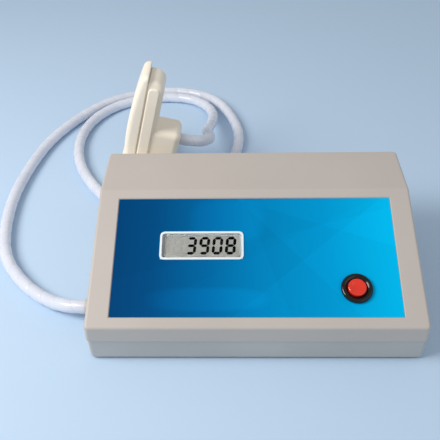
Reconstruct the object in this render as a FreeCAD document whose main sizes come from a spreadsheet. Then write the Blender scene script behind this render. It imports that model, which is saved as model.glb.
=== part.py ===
import FreeCAD, Part
import math
import os
import re
import Sketcher

# Electronic spirometer: a sloped desk case with a display and a push button, and a hand-held
# flow head on a hose. Millimetres and degrees. +X is right, +Y is back, +Z is up.
# The origin is on the table, under the middle of the case and flow head together.

doc = FreeCAD.newDocument("Spirometer")
sheet = doc.addObject("Spreadsheet::Sheet", "Sizes")
Vector = FreeCAD.Vector

SIZES = {
    # where the case and the handset stand
    "host_x": 2.8,
    "host_y": -123,
    "handset_x": -92.3,
    "handset_y": 64,
    # case, seen from the side
    "case_width": 200,
    "case_flare": 1.3,
    "case_depth": 131,
    "front_height": 30,
    "ridge_back": 87,
    "ridge_height": 66,
    "parting": 18.1,
    "base_lift": 1.5,
    "base_inset": 2,
    "parting_step": 0.5,
    "parting_gap": 0.6,
    "case_wall": 2.5,
    "floor_wall": 2.5,
    "corner_round": 2.5,
    "edge_round": 1.8,
    "base_round": 1.2,
    # tongue on the lower shell that locates the upper one
    "lip_height": 2,
    "lip_wall": 1.2,
    "lip_gap": 0.25,
    # feet and case screws
    "foot_radius": 6,
    "foot_sink": 1.5,
    "foot_gap": 0.1,
    "foot_side": 24,
    "foot_end": 24,
    "screw_side": 12,
    "screw_end": 14,
    "screw_shank": 1.45,
    "screw_gap": 0.05,
    "screw_head": 2.8,
    "screw_head_height": 2,
    "screw_length": 18,
    "screw_sink": 3,
    "head_gap": 0.4,
    "boss_radius": 4,
    # label recess on the sloping panel, measured up the slope from its front edge
    "label_side": 13.25,
    "label_low": 7,
    "label_high": 87.5,
    "label_sink": 1,
    "label_bevel": 0.5,
    "label_thick": 0.4,
    "label_gap": 0.15,
    # display
    "display_side": 53.9,
    "display_up": 53.85,
    "frame_width": 52,
    "frame_height": 19.2,
    "frame_line": 1.3,
    "frame_proud": 0.7,
    "frame_round": 3,
    "skirt_set": 0.5,
    "skirt_gap": 0.1,
    "ledge": 0.7,
    "window_thick": 1,
    "window_gap": 0.08,
    "window_drop": 1,
    "glass_width": 58,
    "glass_height": 25,
    "glass_thick": 2.8,
    "seat_gap": 0.1,
    "display_board_width": 80,
    "display_board_height": 34,
    "board_thick": 1.6,
    "stand_x": 35,
    "stand_u": 13,
    "stand_radius": 2.8,
    "small_shank": 1.2,
    "small_head": 2.3,
    "small_head_height": 1.5,
    "small_reach": 2.6,
    # push button
    "button_side": 26.45,
    "button_up": 24.8,
    "bezel_radius": 9.5,
    "bezel_height": 2.5,
    "bezel_round": 1.1,
    "barrel_radius": 8,
    "barrel_length": 16,
    "barrel_gap": 0.1,
    "cap_radius": 5.5,
    "cap_proud": 3.3,
    "cap_round": 0.8,
    "cap_skirt": 6.6,
    "cap_play": 0.35,
    "cap_fit": 0.06,
    "cap_length": 9,
    "cap_skirt_length": 4,
    "button_well": 14,
    "nut_across": 11,
    "nut_thick": 3,
    "nut_fit": 0.08,
    "terminal_width": 3,
    "terminal_thick": 0.8,
    "terminal_length": 7,
    "terminal_spread": 3.5,
    # main board
    "board_side": 32,
    "pack_space": 16,
    "board_edge": 1,
    "board_front": 34,
    "board_back": 104,
    "board_height": 10,
    "board_screw_in": 5,
    "standoff_radius": 3,
    "ribbon_width": 18,
    "ribbon_thick": 0.5,
    "ribbon_up": 48,
    "ribbon_foot": 62,
    "ribbon_bend": 8,
    # pressure sensor and its tubes
    "sensor_in": 6,
    "sensor_front": 42.5,
    "sensor_length": 16,
    "sensor_width": 16,
    "sensor_height": 8,
    "barb_length": 8,
    "barb_front": 5,
    "barb_pitch": 6,
    "barb_up": 4,
    "tube_line": 1.3,
    "tube_pitch": 3,
    # battery and its leads
    "battery_side": 12,
    "battery_front": 64,
    "battery_length": 50,
    "battery_width": 34,
    "battery_height": 16,
    "battery_round": 2,
    "pad_thick": 1,
    "rib_gap": 0.4,
    "rib_wall": 1.6,
    "rib_height": 8,
    "lead_radius": 0.7,
    "lead_space": 2.8,
    "lead_run": 5,
    "lead_up": 3,
    "connector_long": 13,
    "connector_wide": 7,
    "connector_tall": 6,
    "button_plug": 13,
    "battery_plug": 37.4,
    "jack_plug": 59,
    "controller_side": 14,
    "controller_in": 46,
    "controller_up": 41,
    "driver_long": 8,
    "driver_wide": 6,
    "chip_tall": 2,
    "chip_space": 6,
    # charging socket in the rear wall
    "jack_side": 40,
    "jack_up": 40,
    "jack_flange": 7,
    "jack_flange_thick": 1.5,
    "jack_barrel": 5.5,
    "jack_length": 14,
    "jack_bore": 3.2,
    "jack_sleeve": 2.85,
    "jack_depth": 10,
    "jack_pin": 1,
    "jack_pin_short": 5.2,
    "jack_mouth": 4.6,
    "jack_nut": 8,
    "jack_nut_thick": 2.5,
    # hose fitting in the left wall
    "port_back": 36,
    "port_up": 10,
    "port_neck": 4.4,
    "port_gap": 0.1,
    "port_flange": 7.5,
    "port_flange_thick": 1.5,
    "port_nose": 6,
    "port_nose_radius": 5.4,
    "port_bore": 3,
    "port_inside": 5.5,
    "port_end_wall": 2,
    "port_lock": 5.9,
    "port_lock_thick": 2,
    "nipple_radius": 0.65,
    "nipple_length": 3,
    "tube_bore": 0.7,
    # handset: grip and head
    "lean": 14.5,
    "grip_left": 9.8,
    "grip_right": 12.6,
    "grip_depth": 30,
    "grip_top": 87.1,
    "grip_step": 3.8,
    "grip_bow": 4.6,
    "bow_up": 39.8,
    "crown_round": 5,
    "shoulder_round": 8,
    "grip_round_left": 4,
    "grip_round_right": 4,
    "seam_round_left": 1,
    "seam_round_right": 1,
    "bar_in": 1,
    "bar_out": 9.6,
    "bar_top": 78.5,
    "bar_rise": 1.5,
    "bar_end_round": 3,
    "bar_round": 1.2,
    "block_reach": 32,
    "block_top": 43.3,
    "block_rise": 0.3,
    "block_round": 5,
    "head_depth": 44,
    "head_top": 16,
    "head_drop": 11,
    "head_round": 2,
    "shell_wall": 2.2,
    "grip_screw_top": 66,
    "grip_screw_low": 50,
    "grip_screw_deep": 2.4,
    "grip_boss_in": 1.9,
    "grip_boss": 3,
    # flow tube
    "flow_across": 9.9,
    "flow_up": 3,
    "flow_radius": 12,
    "flow_bore": 10,
    "throat": 6.5,
    "throat_length": 10,
    "flow_length": 64,
    "flow_fit": 0.06,
    "ring_thick": 4,
    "cone_length": 10,
    "socket_depth": 12,
    "tap_radius": 1.3,
    "tap_height": 4,
    "tap_back": 10,
    "grille_sink": 2,
    "grille_ledge": 1,
    "grille_hole": 2,
    "grille_pitch": 5.6,
    # mouthpiece
    "mouth_fit": 0.08,
    "mouth_bore": 8.2,
    "mouth_flange": 13.5,
    "mouth_flange_thick": 2,
    "mouth_radius": 11,
    "mouth_end": 10,
    "mouth_length": 25,
    "seal_radius": 0.5,
    "seal_gap": 0.02,
    "seal_back": 6,
    # hose and its fitting in the handset
    "hose_radius": 4.5,
    "hose_up": 33,
    "gland_flange": 6.5,
    "gland_flange_thick": 2,
    "gland_radius": 5,
    "gland_inside": 6,
    "gland_face": 0.5,
}
for row, (alias, value) in enumerate(SIZES.items(), start=1):
    sheet.set("A%d" % row, alias)
    sheet.set("B%d" % row, str(value))
    sheet.setAlias("B%d" % row, alias)
doc.recompute()

# Places that follow from the sizes, in the case's own frame
PLACES = {
    "display_x": "(display_side - label_width/2)",
    "button_x": "(label_width/2 - button_side)",
    "board_left": "(board_side - case_width/2)",
    "board_right": "(case_width/2 - battery_side - battery_length - pack_space)",
    "sensor_left": "(board_side + sensor_in - case_width/2)",
    "battery_left": "(case_width/2 - battery_side - battery_length)",
    "jack_x": "(case_width/2 - jack_side)",
    "label_width": "(case_width - 2*label_side)",
}

probe = doc.addObject("App::FeaturePython", "Probe")
probe.addProperty("App::PropertyFloat", "value")


def bound(text):
    """Turn a formula in plain aliases into one that reads the sheet."""
    for place, worked_out in PLACES.items():
        text = re.sub(r"\b%s\b" % place, worked_out, text)
    return re.sub(r"[a-z][a-z_]*\b(?!\()", lambda word: "Sizes." + word.group(0), text)


def number(text):
    """The present value of a formula."""
    probe.setExpression("value", bound(text))
    probe.recompute()
    return probe.value


def bind(obj, **formulas):
    for name, text in formulas.items():
        obj.setExpression(name, bound(text))
    return obj


def placement(x="0", y="0", z="0", turn_axis="0; 0; 1", angle="0"):
    place = ("create(<<placement>>; create(<<vector>>; %s; %s; %s); "
             "create(<<rotation>>; create(<<vector>>; %s); %s))")
    return place % (bound(x), bound(y), bound(z), turn_axis, bound(angle))


# Frames in which the pieces are drawn. Each finished piece is then placed by its frame.
SLOPE = "atan2(ridge_height - front_height; ridge_back)"
RISE = "((block_reach - head_round)*sin(lean) + (head_drop - head_round)*cos(lean) + head_round)"
HOST = placement("host_x", "host_y")
PANEL = placement("host_x", "host_y", "front_height", "1; 0; 0", SLOPE)
HANDSET = placement("handset_x", "handset_y", RISE, "0; 1; 0", "lean")
FLOW = placement("handset_x + flow_across*cos(lean) + flow_up*sin(lean)", "handset_y",
                 RISE + " - flow_across*sin(lean) + flow_up*cos(lean)", "0; 1; 0", "lean")
GLAND = placement("handset_x + hose_up*sin(lean)", "handset_y", RISE + " + hose_up*cos(lean)",
                  "0; 1; 0", "lean")
TURNS = {"x": ("0; 1; 0", "90"), "y": ("1; 0; 0", "-90"), "z": ("0; 0; 1", "0")}

nodes = {}


def node(name, obj, frame):
    """Name a finished piece and put it in its place."""
    obj.Label = name
    obj.setExpression("Placement", frame)
    nodes[name] = obj
    return obj


def box(x0, x1, y0, y1, z0, z1):
    obj = bind(doc.addObject("Part::Box", "Block"), Length="%s - (%s)" % (x1, x0),
               Width="%s - (%s)" % (y1, y0), Height="%s - (%s)" % (z1, z0))
    obj.setExpression("Placement", placement(x0, y0, z0))
    return obj


def rod(radius, length, x, y, z, along="z"):
    obj = bind(doc.addObject("Part::Cylinder", "Rod"), Radius=radius, Height=length)
    obj.setExpression("Placement", placement(x, y, z, *TURNS[along]))
    return obj


def on_slope(x, up, out):
    """A point of the sloping panel, as formulas in the case's own frame."""
    return (x, "(%s)*cos(%s) - (%s)*sin(%s)" % (up, SLOPE, out, SLOPE),
            "front_height + (%s)*sin(%s) + (%s)*cos(%s)" % (up, SLOPE, out, SLOPE))


def slope_box(x0, x1, up0, up1, out0, out1):
    obj = box(x0, x1, up0, up1, out0, out1)
    obj.setExpression("Placement", placement(*on_slope(x0, up0, out0), "1; 0; 0", SLOPE))
    return obj


def slope_rod(radius, x, up, out0, out1):
    obj = rod(radius, "%s - (%s)" % (out1, out0), x, up, out0)
    obj.setExpression("Placement", placement(*on_slope(x, up, out0), "1; 0; 0", SLOPE))
    return obj


def fuse(*shapes):
    obj = doc.addObject("Part::MultiFuse", "Joined")
    obj.Shapes = list(shapes)
    obj.Refine = True
    return obj


def shared(*shapes):
    obj = doc.addObject("Part::MultiCommon", "Shared")
    obj.Shapes = list(shapes)
    return obj


def group(*shapes):
    obj = doc.addObject("Part::Compound", "Set")
    obj.Links = list(shapes)
    return obj


def cut(base, *tools):
    obj = doc.addObject("Part::Cut", "Cut")
    obj.Base = base
    obj.Tool = tools[0] if len(tools) == 1 else group(*tools)
    return obj


def rounded(base, radius, wanted):
    """Round the edges that the test picks, read from the shape as it now is."""
    doc.recompute()
    reach = number(radius)
    obj = doc.addObject("Part::Fillet", "Rounded")
    obj.Base = base
    obj.Edges = [(k, reach, reach) for k, edge in enumerate(base.Shape.Edges, start=1) if wanted(edge)]
    return obj


def at(axis, *texts):
    """A test for edges that lie wholly at one of these places along an axis."""
    places = [number(text) for text in texts]

    def test(edge):
        low = getattr(edge.BoundBox, axis.upper() + "Min")
        high = getattr(edge.BoundBox, axis.upper() + "Max")
        return any(abs(low - place) < 1e-4 and abs(high - place) < 1e-4 for place in places)
    return test


def along(axis):
    """A test for straight edges that run along an axis."""
    def test(edge):
        box_ = edge.BoundBox
        spans = {"x": box_.XLength, "y": box_.YLength, "z": box_.ZLength}
        rest = [span for name, span in spans.items() if name != axis]
        return spans[axis] > 1e-3 and max(rest) < 1e-4
    return test


def body_sketch(role):
    body = doc.addObject("PartDesign::Body", "Body")
    drawing = body.newObject("Sketcher::SketchObject", "Outline")
    plane = [part for part in body.Origin.OriginFeatures if part.Role == role][0]
    drawing.AttachmentSupport = [(plane, "")]
    drawing.MapMode = "FlatFace"
    return body, drawing


def polygon(drawing, corners):
    """Draw a closed outline whose every corner is dimensioned from the sketch's origin."""
    spots = [(number(a), number(b)) for a, b in corners]
    first = drawing.GeometryCount
    count = len(spots)
    for k in range(count):
        line = Part.LineSegment(Vector(*spots[k], 0), Vector(*spots[(k + 1) % count], 0))
        drawing.addGeometry(line, False)
    for k in range(count):
        drawing.addConstraint(Sketcher.Constraint("Coincident", first + k, 2, first + (k + 1) % count, 1))
    for k, (a, b) in enumerate(corners):
        for kind, text, value in (("DistanceX", a, spots[k][0]), ("DistanceY", b, spots[k][1])):
            rule = drawing.addConstraint(Sketcher.Constraint(kind, -1, 1, first + k, 1, value))
            drawing.setExpression("Constraints[%d]" % rule, bound(text))


def side_prism(width, corners, role="YZ_Plane"):
    """A prism centred on the plane of its outline, the side or the front view."""
    body, drawing = body_sketch(role)
    polygon(drawing, corners)
    pad = body.newObject("PartDesign::Pad", "Pad")
    pad.Profile = drawing
    pad.Midplane = True
    bind(pad, Length=width)
    return body


def turned(axis, corners):
    """A body turned about an axis, from corners given as place along it and radius."""
    role = "XZ_Plane" if axis == "z" else "XY_Plane"
    body, drawing = body_sketch(role)
    polygon(drawing, corners if axis == "x" else [(radius, place) for place, radius in corners])
    turn = body.newObject("PartDesign::Revolution", "Revolution")
    turn.Profile = drawing
    turn.ReferenceAxis = (drawing, ["H_Axis" if axis == "x" else "V_Axis"])
    turn.Angle = 360
    return body


def bent_path(points, name=""):
    """Straight runs joined by tangent arcs, each as large as its two runs allow."""
    runs = [(b - a).Length for a, b in zip(points, points[1:])]
    edges = []
    start = points[0]
    radii = []
    for k in range(1, len(points) - 1):
        back = (points[k - 1] - points[k]).normalize()
        ahead = (points[k + 1] - points[k]).normalize()
        tangent = 0.45 * min(runs[k - 1], runs[k])
        sine = Vector(back + ahead).Length / 2
        cosine = (1 - sine * sine) ** 0.5
        radius = tangent * cosine / sine
        radii.append(round(radius, 1))
        middle = (back + ahead).normalize() * (radius / cosine - radius)
        entry = points[k] + back * tangent
        leave = points[k] + ahead * tangent
        edges.append(Part.LineSegment(start, entry).toShape())
        edges.append(Part.Arc(entry, points[k] + middle, leave).toShape())
        start = leave
    edges.append(Part.LineSegment(start, points[-1]).toShape())
    if name:
        print(name, "radii", radii, "length", round(sum(edge.Length for edge in edges), 1))
    return Part.Wire(edges)


def tube_solid(points, radius, name=""):
    path = bent_path(points, name)
    ring = Part.Wire(Part.Circle(points[0], points[1] - points[0], radius).toShape())
    solid = Part.Solid(path.makePipeShell([ring], True, False))
    print("pipe volume share", round(solid.Volume / (math.pi * radius ** 2 * path.Length), 4))
    return solid


def hollow_tube(points, radius, bore):
    return tube_solid(points, radius).cut(tube_solid(points, bore))


def spots(*corners):
    return [Vector(*[number(text) for text in corner]) for corner in corners]


def shaped(*solids):
    """Bent tubes and strips, whose shape is worked out in code."""
    obj = doc.addObject("Part::Feature", "Bent")
    obj.Shape = solids[0] if len(solids) == 1 else Part.Compound(list(solids))
    return obj


# Lower shell: a tray with a tongue round its rim, screw bosses, board pillars and battery ribs
HALF = "(case_width/2 + case_flare)"
LOW_IN = "parting_step + case_wall"
FLOOR_TOP = "base_lift + floor_wall"
tray_block = side_prism("2*%s - 2*parting_step" % HALF, [
    ("parting_step", "parting"), ("base_inset", "base_lift"),
    ("case_depth - base_inset", "base_lift"), ("case_depth - parting_step", "parting")])
doc.recompute()
tray_block = rounded(tray_block, "corner_round", lambda edge: edge.BoundBox.ZLength > 1)
tray_block = rounded(tray_block, "base_round", at("z", "base_lift"))
tray_room = side_prism("2*%s - 2*(%s)" % (HALF, LOW_IN), [
    (LOW_IN, "parting + lip_height"), (LOW_IN + " + base_inset", FLOOR_TOP),
    ("case_depth - (" + LOW_IN + ") - base_inset", FLOOR_TOP),
    ("case_depth - (" + LOW_IN + ")", "parting + lip_height")])
LIP_OUT = "case_wall + lip_gap"
LIP_IN = "case_wall + lip_gap + lip_wall"
lip = cut(box("-(%s) + %s" % (HALF, LIP_OUT), "%s - (%s)" % (HALF, LIP_OUT), LIP_OUT,
              "case_depth - (%s)" % LIP_OUT, "parting - lip_height", "parting + lip_height"),
          box("-(%s) + %s" % (HALF, LIP_IN), "%s - (%s)" % (HALF, LIP_IN), LIP_IN,
              "case_depth - (%s)" % LIP_IN, "parting - 2*lip_height", "parting + 2*lip_height"))

SCREW_SPOTS = [(side + "(case_width/2 - screw_side)", back)
               for side in ("-", "") for back in ("screw_end", "case_depth - screw_end")]
FOOT_SPOTS = [(side + "(case_width/2 - foot_side)", back)
              for side in ("-", "") for back in ("foot_end", "case_depth - foot_end")]
BOARD_SPOTS = [(x, y) for x in ("board_left + board_screw_in", "board_right - board_screw_in")
               for y in ("board_front + board_screw_in", "board_back - board_screw_in")]
bosses = [rod("boss_radius", "parting - base_lift - 1", x, y, "base_lift + 1") for x, y in SCREW_SPOTS]
pillars = [rod("standoff_radius", "board_height - base_lift - 1", x, y, "base_lift + 1")
           for x, y in BOARD_SPOTS]
RIB = "rib_gap + rib_wall"
battery_ribs = cut(
    box("battery_left - (%s)" % RIB, "battery_left + battery_length + %s" % RIB,
        "battery_front - (%s)" % RIB, "battery_front + battery_width + %s" % RIB,
        "base_lift + 1", FLOOR_TOP + " + rib_height"),
    box("battery_left - rib_gap", "battery_left + battery_length + rib_gap",
        "battery_front - rib_gap", "battery_front + battery_width + rib_gap",
        FLOOR_TOP, FLOOR_TOP + " + 2*rib_height"))
HEAD_BED = "base_lift + screw_sink + screw_head_height"
screw_ways = [rod("screw_shank + 2*head_gap", "2*parting", x, y, "0") for x, y in SCREW_SPOTS]
head_beds = [rod("screw_head + head_gap", HEAD_BED, x, y, "0") for x, y in SCREW_SPOTS]
foot_beds = [rod("foot_radius + foot_gap", "base_lift + foot_sink", x, y, "0") for x, y in FOOT_SPOTS]
pillar_holes = [rod("small_shank + screw_gap", "board_height", x, y, "board_height - small_reach - 1")
                for x, y in BOARD_SPOTS]
port_way = rod("port_neck + port_gap", "4*case_wall", "-(%s) - case_wall" % HALF, "port_back", "port_up",
               "x")
tray = cut(tray_block, tray_room)
node("lower_shell", cut(fuse(tray, lip, battery_ribs, *bosses, *pillars),
                        *screw_ways, *head_beds, *foot_beds, *pillar_holes, port_way), HOST)

node("rubber_feet", group(*[rod("foot_radius", "base_lift + foot_sink", x, y, "0") for x, y in FOOT_SPOTS]),
     HOST)

# Upper shell: the sloping lid, with the label recess, the display opening and the button hole
LID_RIM = "parting + parting_gap"
lid_side = side_prism("2*" + HALF, [
    ("0", LID_RIM), ("0", "front_height"), ("ridge_back", "ridge_height"),
    ("case_depth", "ridge_height"), ("case_depth", LID_RIM)])
lid_front = side_prism("3*case_depth", [
    ("-" + HALF, LID_RIM), (HALF, LID_RIM), ("case_width/2", "ridge_height"),
    ("-case_width/2", "ridge_height")], "XZ_Plane")
lid_block = rounded(shared(lid_side, lid_front), "corner_round",
                    lambda edge: edge.BoundBox.ZLength > 1 and edge.BoundBox.YLength < 0.01)
lid_bottom = at("z", LID_RIM)
ridge_edge = at("y", "ridge_back")
lid_block = rounded(lid_block, "edge_round", lambda edge: not lid_bottom(edge)
                    and not ridge_edge(edge) and edge.BoundBox.ZMax > number("front_height") - 1
                    and edge.BoundBox.ZMin > number(LID_RIM) + 0.01)
SLOPE_RUN = "case_wall/cos(%s)" % SLOPE
SLOPE_RISE = "(ridge_height - front_height)/ridge_back"
room_side = side_prism("2*%s - 2*case_wall" % HALF, [
    ("case_wall", "parting - 1"),
    ("case_wall", "front_height + case_wall*%s - %s" % (SLOPE_RISE, SLOPE_RUN)),
    ("(ridge_height - case_wall - front_height + %s)/(%s)" % (SLOPE_RUN, SLOPE_RISE),
     "ridge_height - case_wall"),
    ("case_depth - case_wall", "ridge_height - case_wall"), ("case_depth - case_wall", "parting - 1")])
room_front = side_prism("3*case_depth", [
    ("case_wall - " + HALF, "parting - 1"), (HALF + " - case_wall", "parting - 1"),
    ("case_width/2 - case_wall", "ridge_height - case_wall"),
    ("case_wall - case_width/2", "ridge_height - case_wall")], "XZ_Plane")
lid_room = shared(room_side, room_front)
lid_bosses = [rod("boss_radius", "ridge_height", x, y, "parting") for x, y in SCREW_SPOTS]
STAND_TOP = "-case_wall - seat_gap - glass_thick - seat_gap"
STAND_SPOTS = [("display_x %s stand_x" % a, "display_up %s stand_u" % b) for a in "-+" for b in "-+"]
stands = [slope_rod("stand_radius", x, up, STAND_TOP, "0") for x, up in STAND_SPOTS]
boss_feet = [rod("boss_radius", "parting_gap + case_wall", x, y, "parting") for x, y in SCREW_SPOTS]
lid = fuse(cut(lid_block, cut(lid_room, *lid_bosses, *stands)), *boss_feet)
label_bed = slope_box("-label_width/2", "label_width/2", "label_low", "label_high", "-label_sink",
                      "label_sink")
WIDER = "(label_width/2 + 2*label_bevel)"
bed_rim = bind(doc.addObject("Part::Wedge", "BedRim"), Xmin="-label_width/2", Xmax="label_width/2",
               Ymin="-label_bevel", Ymax="label_bevel", Zmin="-label_high", Zmax="-label_low",
               X2min="-" + WIDER, X2max=WIDER, Z2min="-label_high - 2*label_bevel",
               Z2max="2*label_bevel - label_low")
bed_rim.setExpression("Placement", placement("0", "0", "front_height", "1; 0; 0",
                                             "atan2(ridge_back; front_height - ridge_height)"))
SKIRT_X = "(frame_width/2 - skirt_set)"
SKIRT_U = "(frame_height/2 - skirt_set)"
display_hole = slope_box("display_x - %s - skirt_gap" % SKIRT_X, "display_x + %s + skirt_gap" % SKIRT_X,
                         "display_up - %s - skirt_gap" % SKIRT_U, "display_up + %s + skirt_gap" % SKIRT_U,
                         "-3*case_wall", "case_wall")
button_hole = slope_rod("barrel_radius + barrel_gap", "button_x", "button_up", "-3*case_wall", "case_wall")
stand_holes = [slope_rod("small_shank + screw_gap", x, up, STAND_TOP + " - 1", "-label_sink - 1")
               for x, up in STAND_SPOTS]
pilot_holes = [rod("screw_shank + screw_gap", "screw_length", x, y, HEAD_BED) for x, y in SCREW_SPOTS]
jack_hole = rod("jack_barrel + barrel_gap", "4*case_wall", "jack_x", "case_depth - 2*case_wall", "jack_up",
                "y")
node("upper_shell", cut(lid, label_bed, bed_rim, display_hole, button_hole, jack_hole, *stand_holes,
                        *pilot_holes), HOST)

# Case screws, driven up through the lower shell into the lid's bosses
case_screws = []
for x, y in SCREW_SPOTS:
    case_screws.append(fuse(rod("screw_head", "screw_head_height", x, y, HEAD_BED + " - screw_head_height"),
                            rod("screw_shank", "screw_length - 1", x, y, HEAD_BED)))
node("case_screws", group(*case_screws), HOST)

# Printed label, and the display behind its opening
label_sheet = box("-label_width/2 + label_gap", "label_width/2 - label_gap", "label_low + label_gap",
                  "label_high - label_gap", "-label_sink", "-label_sink + label_thick")
label_window = box("display_x - %s - skirt_gap" % SKIRT_X, "display_x + %s + skirt_gap" % SKIRT_X,
                   "display_up - %s - skirt_gap" % SKIRT_U, "display_up + %s + skirt_gap" % SKIRT_U,
                   "-case_wall", "case_wall")
label_hole = rod("barrel_radius + barrel_gap", "2*case_wall", "button_x", "button_up", "-case_wall")
node("front_label", cut(label_sheet, label_window, label_hole), PANEL)

LABEL_TOP = "(-label_sink + label_thick)"
FRAME_TOP = "(%s + frame_proud)" % LABEL_TOP
flange = box("display_x - frame_width/2", "display_x + frame_width/2", "display_up - frame_height/2",
             "display_up + frame_height/2", LABEL_TOP, FRAME_TOP)
flange = rounded(flange, "frame_round", along("z"))
skirt = box("display_x - " + SKIRT_X, "display_x + " + SKIRT_X, "display_up - " + SKIRT_U,
            "display_up + " + SKIRT_U, "-case_wall - seat_gap/2", LABEL_TOP)
VIEW_X = "(frame_width/2 - frame_line)"
VIEW_U = "(frame_height/2 - frame_line)"
SILL = "(%s - window_drop - window_thick)" % FRAME_TOP
view_hole = box("display_x - " + VIEW_X, "display_x + " + VIEW_X, "display_up - " + VIEW_U,
                "display_up + " + VIEW_U, SILL, "case_wall")
view_hole = rounded(view_hole, "frame_round - frame_line", along("z"))
sight_hole = box("display_x - %s + ledge" % VIEW_X, "display_x + %s - ledge" % VIEW_X,
                 "display_up - %s + ledge" % VIEW_U, "display_up + %s - ledge" % VIEW_U, "-3*case_wall",
                 "case_wall")
node("display_frame", cut(fuse(flange, skirt), view_hole, sight_hole), PANEL)

pane = box("display_x - %s + window_gap" % VIEW_X, "display_x + %s - window_gap" % VIEW_X,
           "display_up - %s + window_gap" % VIEW_U, "display_up + %s - window_gap" % VIEW_U,
           SILL, SILL + " + window_thick")
node("display_window", rounded(pane, "frame_round - frame_line", along("z")), PANEL)

GLASS_TOP = "(-case_wall - seat_gap)"
BOARD_FACE = "(%s - glass_thick - seat_gap)" % GLASS_TOP
node("display_glass", group(box("display_x - glass_width/2", "display_x + glass_width/2",
                                "display_up - glass_height/2", "display_up + glass_height/2",
                                GLASS_TOP + " - glass_thick", GLASS_TOP)), PANEL)
display_plate = box("display_x - display_board_width/2", "display_x + display_board_width/2",
                    "display_up - display_board_height/2", "display_up + display_board_height/2",
                    BOARD_FACE + " - board_thick", BOARD_FACE)
plate_holes = [rod("small_shank + screw_gap", "3*board_thick", x, up, BOARD_FACE + " - 2*board_thick")
               for x, up in STAND_SPOTS]
node("display_board", cut(display_plate, *plate_holes), PANEL)
display_screws = []
for x, up in STAND_SPOTS:
    head = rod("small_head", "small_head_height", x, up, BOARD_FACE + " - board_thick - small_head_height")
    shank = rod("small_shank", "board_thick + small_reach", x, up, BOARD_FACE + " - board_thick")
    display_screws.append(fuse(head, shank))
node("display_screws", group(*display_screws), PANEL)

# Push button: a threaded housing with a black bezel, a red cap on a spring, and a nut inside
BEZEL_TOP = "(%s + bezel_height)" % LABEL_TOP
CAP_TOP = "(%s + cap_proud)" % LABEL_TOP
SKIRT_TOP = "(%s - cap_length + cap_skirt_length)" % CAP_TOP
WELL = "(%s - button_well)" % LABEL_TOP
housing = turned("z", [
    ("-barrel_length", "0"), ("-barrel_length", "barrel_radius"), (LABEL_TOP, "barrel_radius"),
    (LABEL_TOP, "bezel_radius"), (BEZEL_TOP, "bezel_radius"), (BEZEL_TOP, "cap_radius + cap_play"),
    (SKIRT_TOP, "cap_radius + cap_play"), (SKIRT_TOP, "cap_skirt + cap_fit"),
    (WELL, "cap_skirt + cap_fit"), (WELL, "0")])
BUTTON = placement("host_x + button_x", "host_y + button_up*cos(%s)" % SLOPE,
                   "front_height + button_up*sin(%s)" % SLOPE, "1; 0; 0", SLOPE)
doc.recompute()
bezel_rim = at("z", BEZEL_TOP)
node("button_housing", rounded(housing, "bezel_round", bezel_rim), BUTTON)
cap = turned("z", [
    ("%s - cap_length" % CAP_TOP, "0"), ("%s - cap_length" % CAP_TOP, "cap_skirt"),
    (SKIRT_TOP, "cap_skirt"), (SKIRT_TOP, "cap_radius"), (CAP_TOP, "cap_radius"), (CAP_TOP, "0")])
node("button_cap", rounded(cap, "cap_round", at("z", CAP_TOP)), BUTTON)
hexagon = bind(doc.addObject("Part::Prism", "Hexagon"), Circumradius="nut_across", Height="nut_thick")
hexagon.Polygon = 6
hexagon.setExpression("Placement", placement("0", "0", "-case_wall - nut_thick"))
node("button_nut",
     cut(hexagon, rod("barrel_radius + nut_fit", "3*nut_thick", "0", "0", "-case_wall - 2*nut_thick")),
     BUTTON)
blades = [box("%s(terminal_spread) - terminal_thick/2" % side,
              "%s(terminal_spread) + terminal_thick/2" % side,
              "-terminal_width/2", "terminal_width/2", "-barrel_length - terminal_length", "-barrel_length")
          for side in ("-", "")]
node("button_terminals", group(*blades), BUTTON)

# Main board on its pillars, with the chips, the flow sensor and the screws
BOARD_TOP = "(board_height + board_thick)"
board_plate = box("board_left", "board_right", "board_front", "board_back", "board_height", BOARD_TOP)
board_holes = [rod("small_shank + screw_gap", "4*board_thick", x, y, "board_height - board_thick")
               for x, y in BOARD_SPOTS]
node("main_board", cut(board_plate, *board_holes), HOST)
board_screws = []
for x, y in BOARD_SPOTS:
    board_screws.append(fuse(rod("small_head", "small_head_height", x, y, BOARD_TOP),
                             rod("small_shank", "board_thick + small_reach", x, y,
                                 "board_height - small_reach")))
node("board_screws", group(*board_screws), HOST)

CONTROLLER = ("board_left + controller_in", "board_front + controller_up", "controller_side",
              "controller_side", "chip_tall")
AMPLIFIER = ("sensor_left + sensor_length + chip_space", "sensor_front", "driver_wide", "driver_long",
             "chip_tall")
DRIVER = ("sensor_left + sensor_length + chip_space", "board_back - 2*chip_space - driver_wide",
          "driver_long",
          "driver_wide", "chip_tall")
CHIPS = [CONTROLLER, AMPLIFIER, DRIVER]
for plug in ("button_plug", "battery_plug", "jack_plug"):
    CHIPS.append(("board_right - board_edge - connector_long", "board_front + %s - connector_wide/2" % plug,
                  "connector_long", "connector_wide", "connector_tall"))
chips = []
for x, y, long, wide, tall in CHIPS:
    far_x = "%s + %s" % (x, long)
    far_y = "%s + %s" % (y, wide)
    chips.append(box(x, far_x, y, far_y, BOARD_TOP, "%s + %s" % (BOARD_TOP, tall)))
node("board_chips", group(*chips), HOST)

# Flow sensor on the board, with its two nipples
sensor_block = box("sensor_left", "sensor_left + sensor_length", "sensor_front",
                   "sensor_front + sensor_width",
                   BOARD_TOP, BOARD_TOP + " + sensor_height")
BARB_Z = BOARD_TOP + " + barb_up"
BARB_Y = ("sensor_front + barb_front", "sensor_front + barb_front + barb_pitch")
barbs = [rod("nipple_radius", "barb_length + 1", "sensor_left - barb_length", y, BARB_Z, "x")
         for y in BARB_Y]
node("pressure_sensor", fuse(sensor_block, *barbs), HOST)

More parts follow.
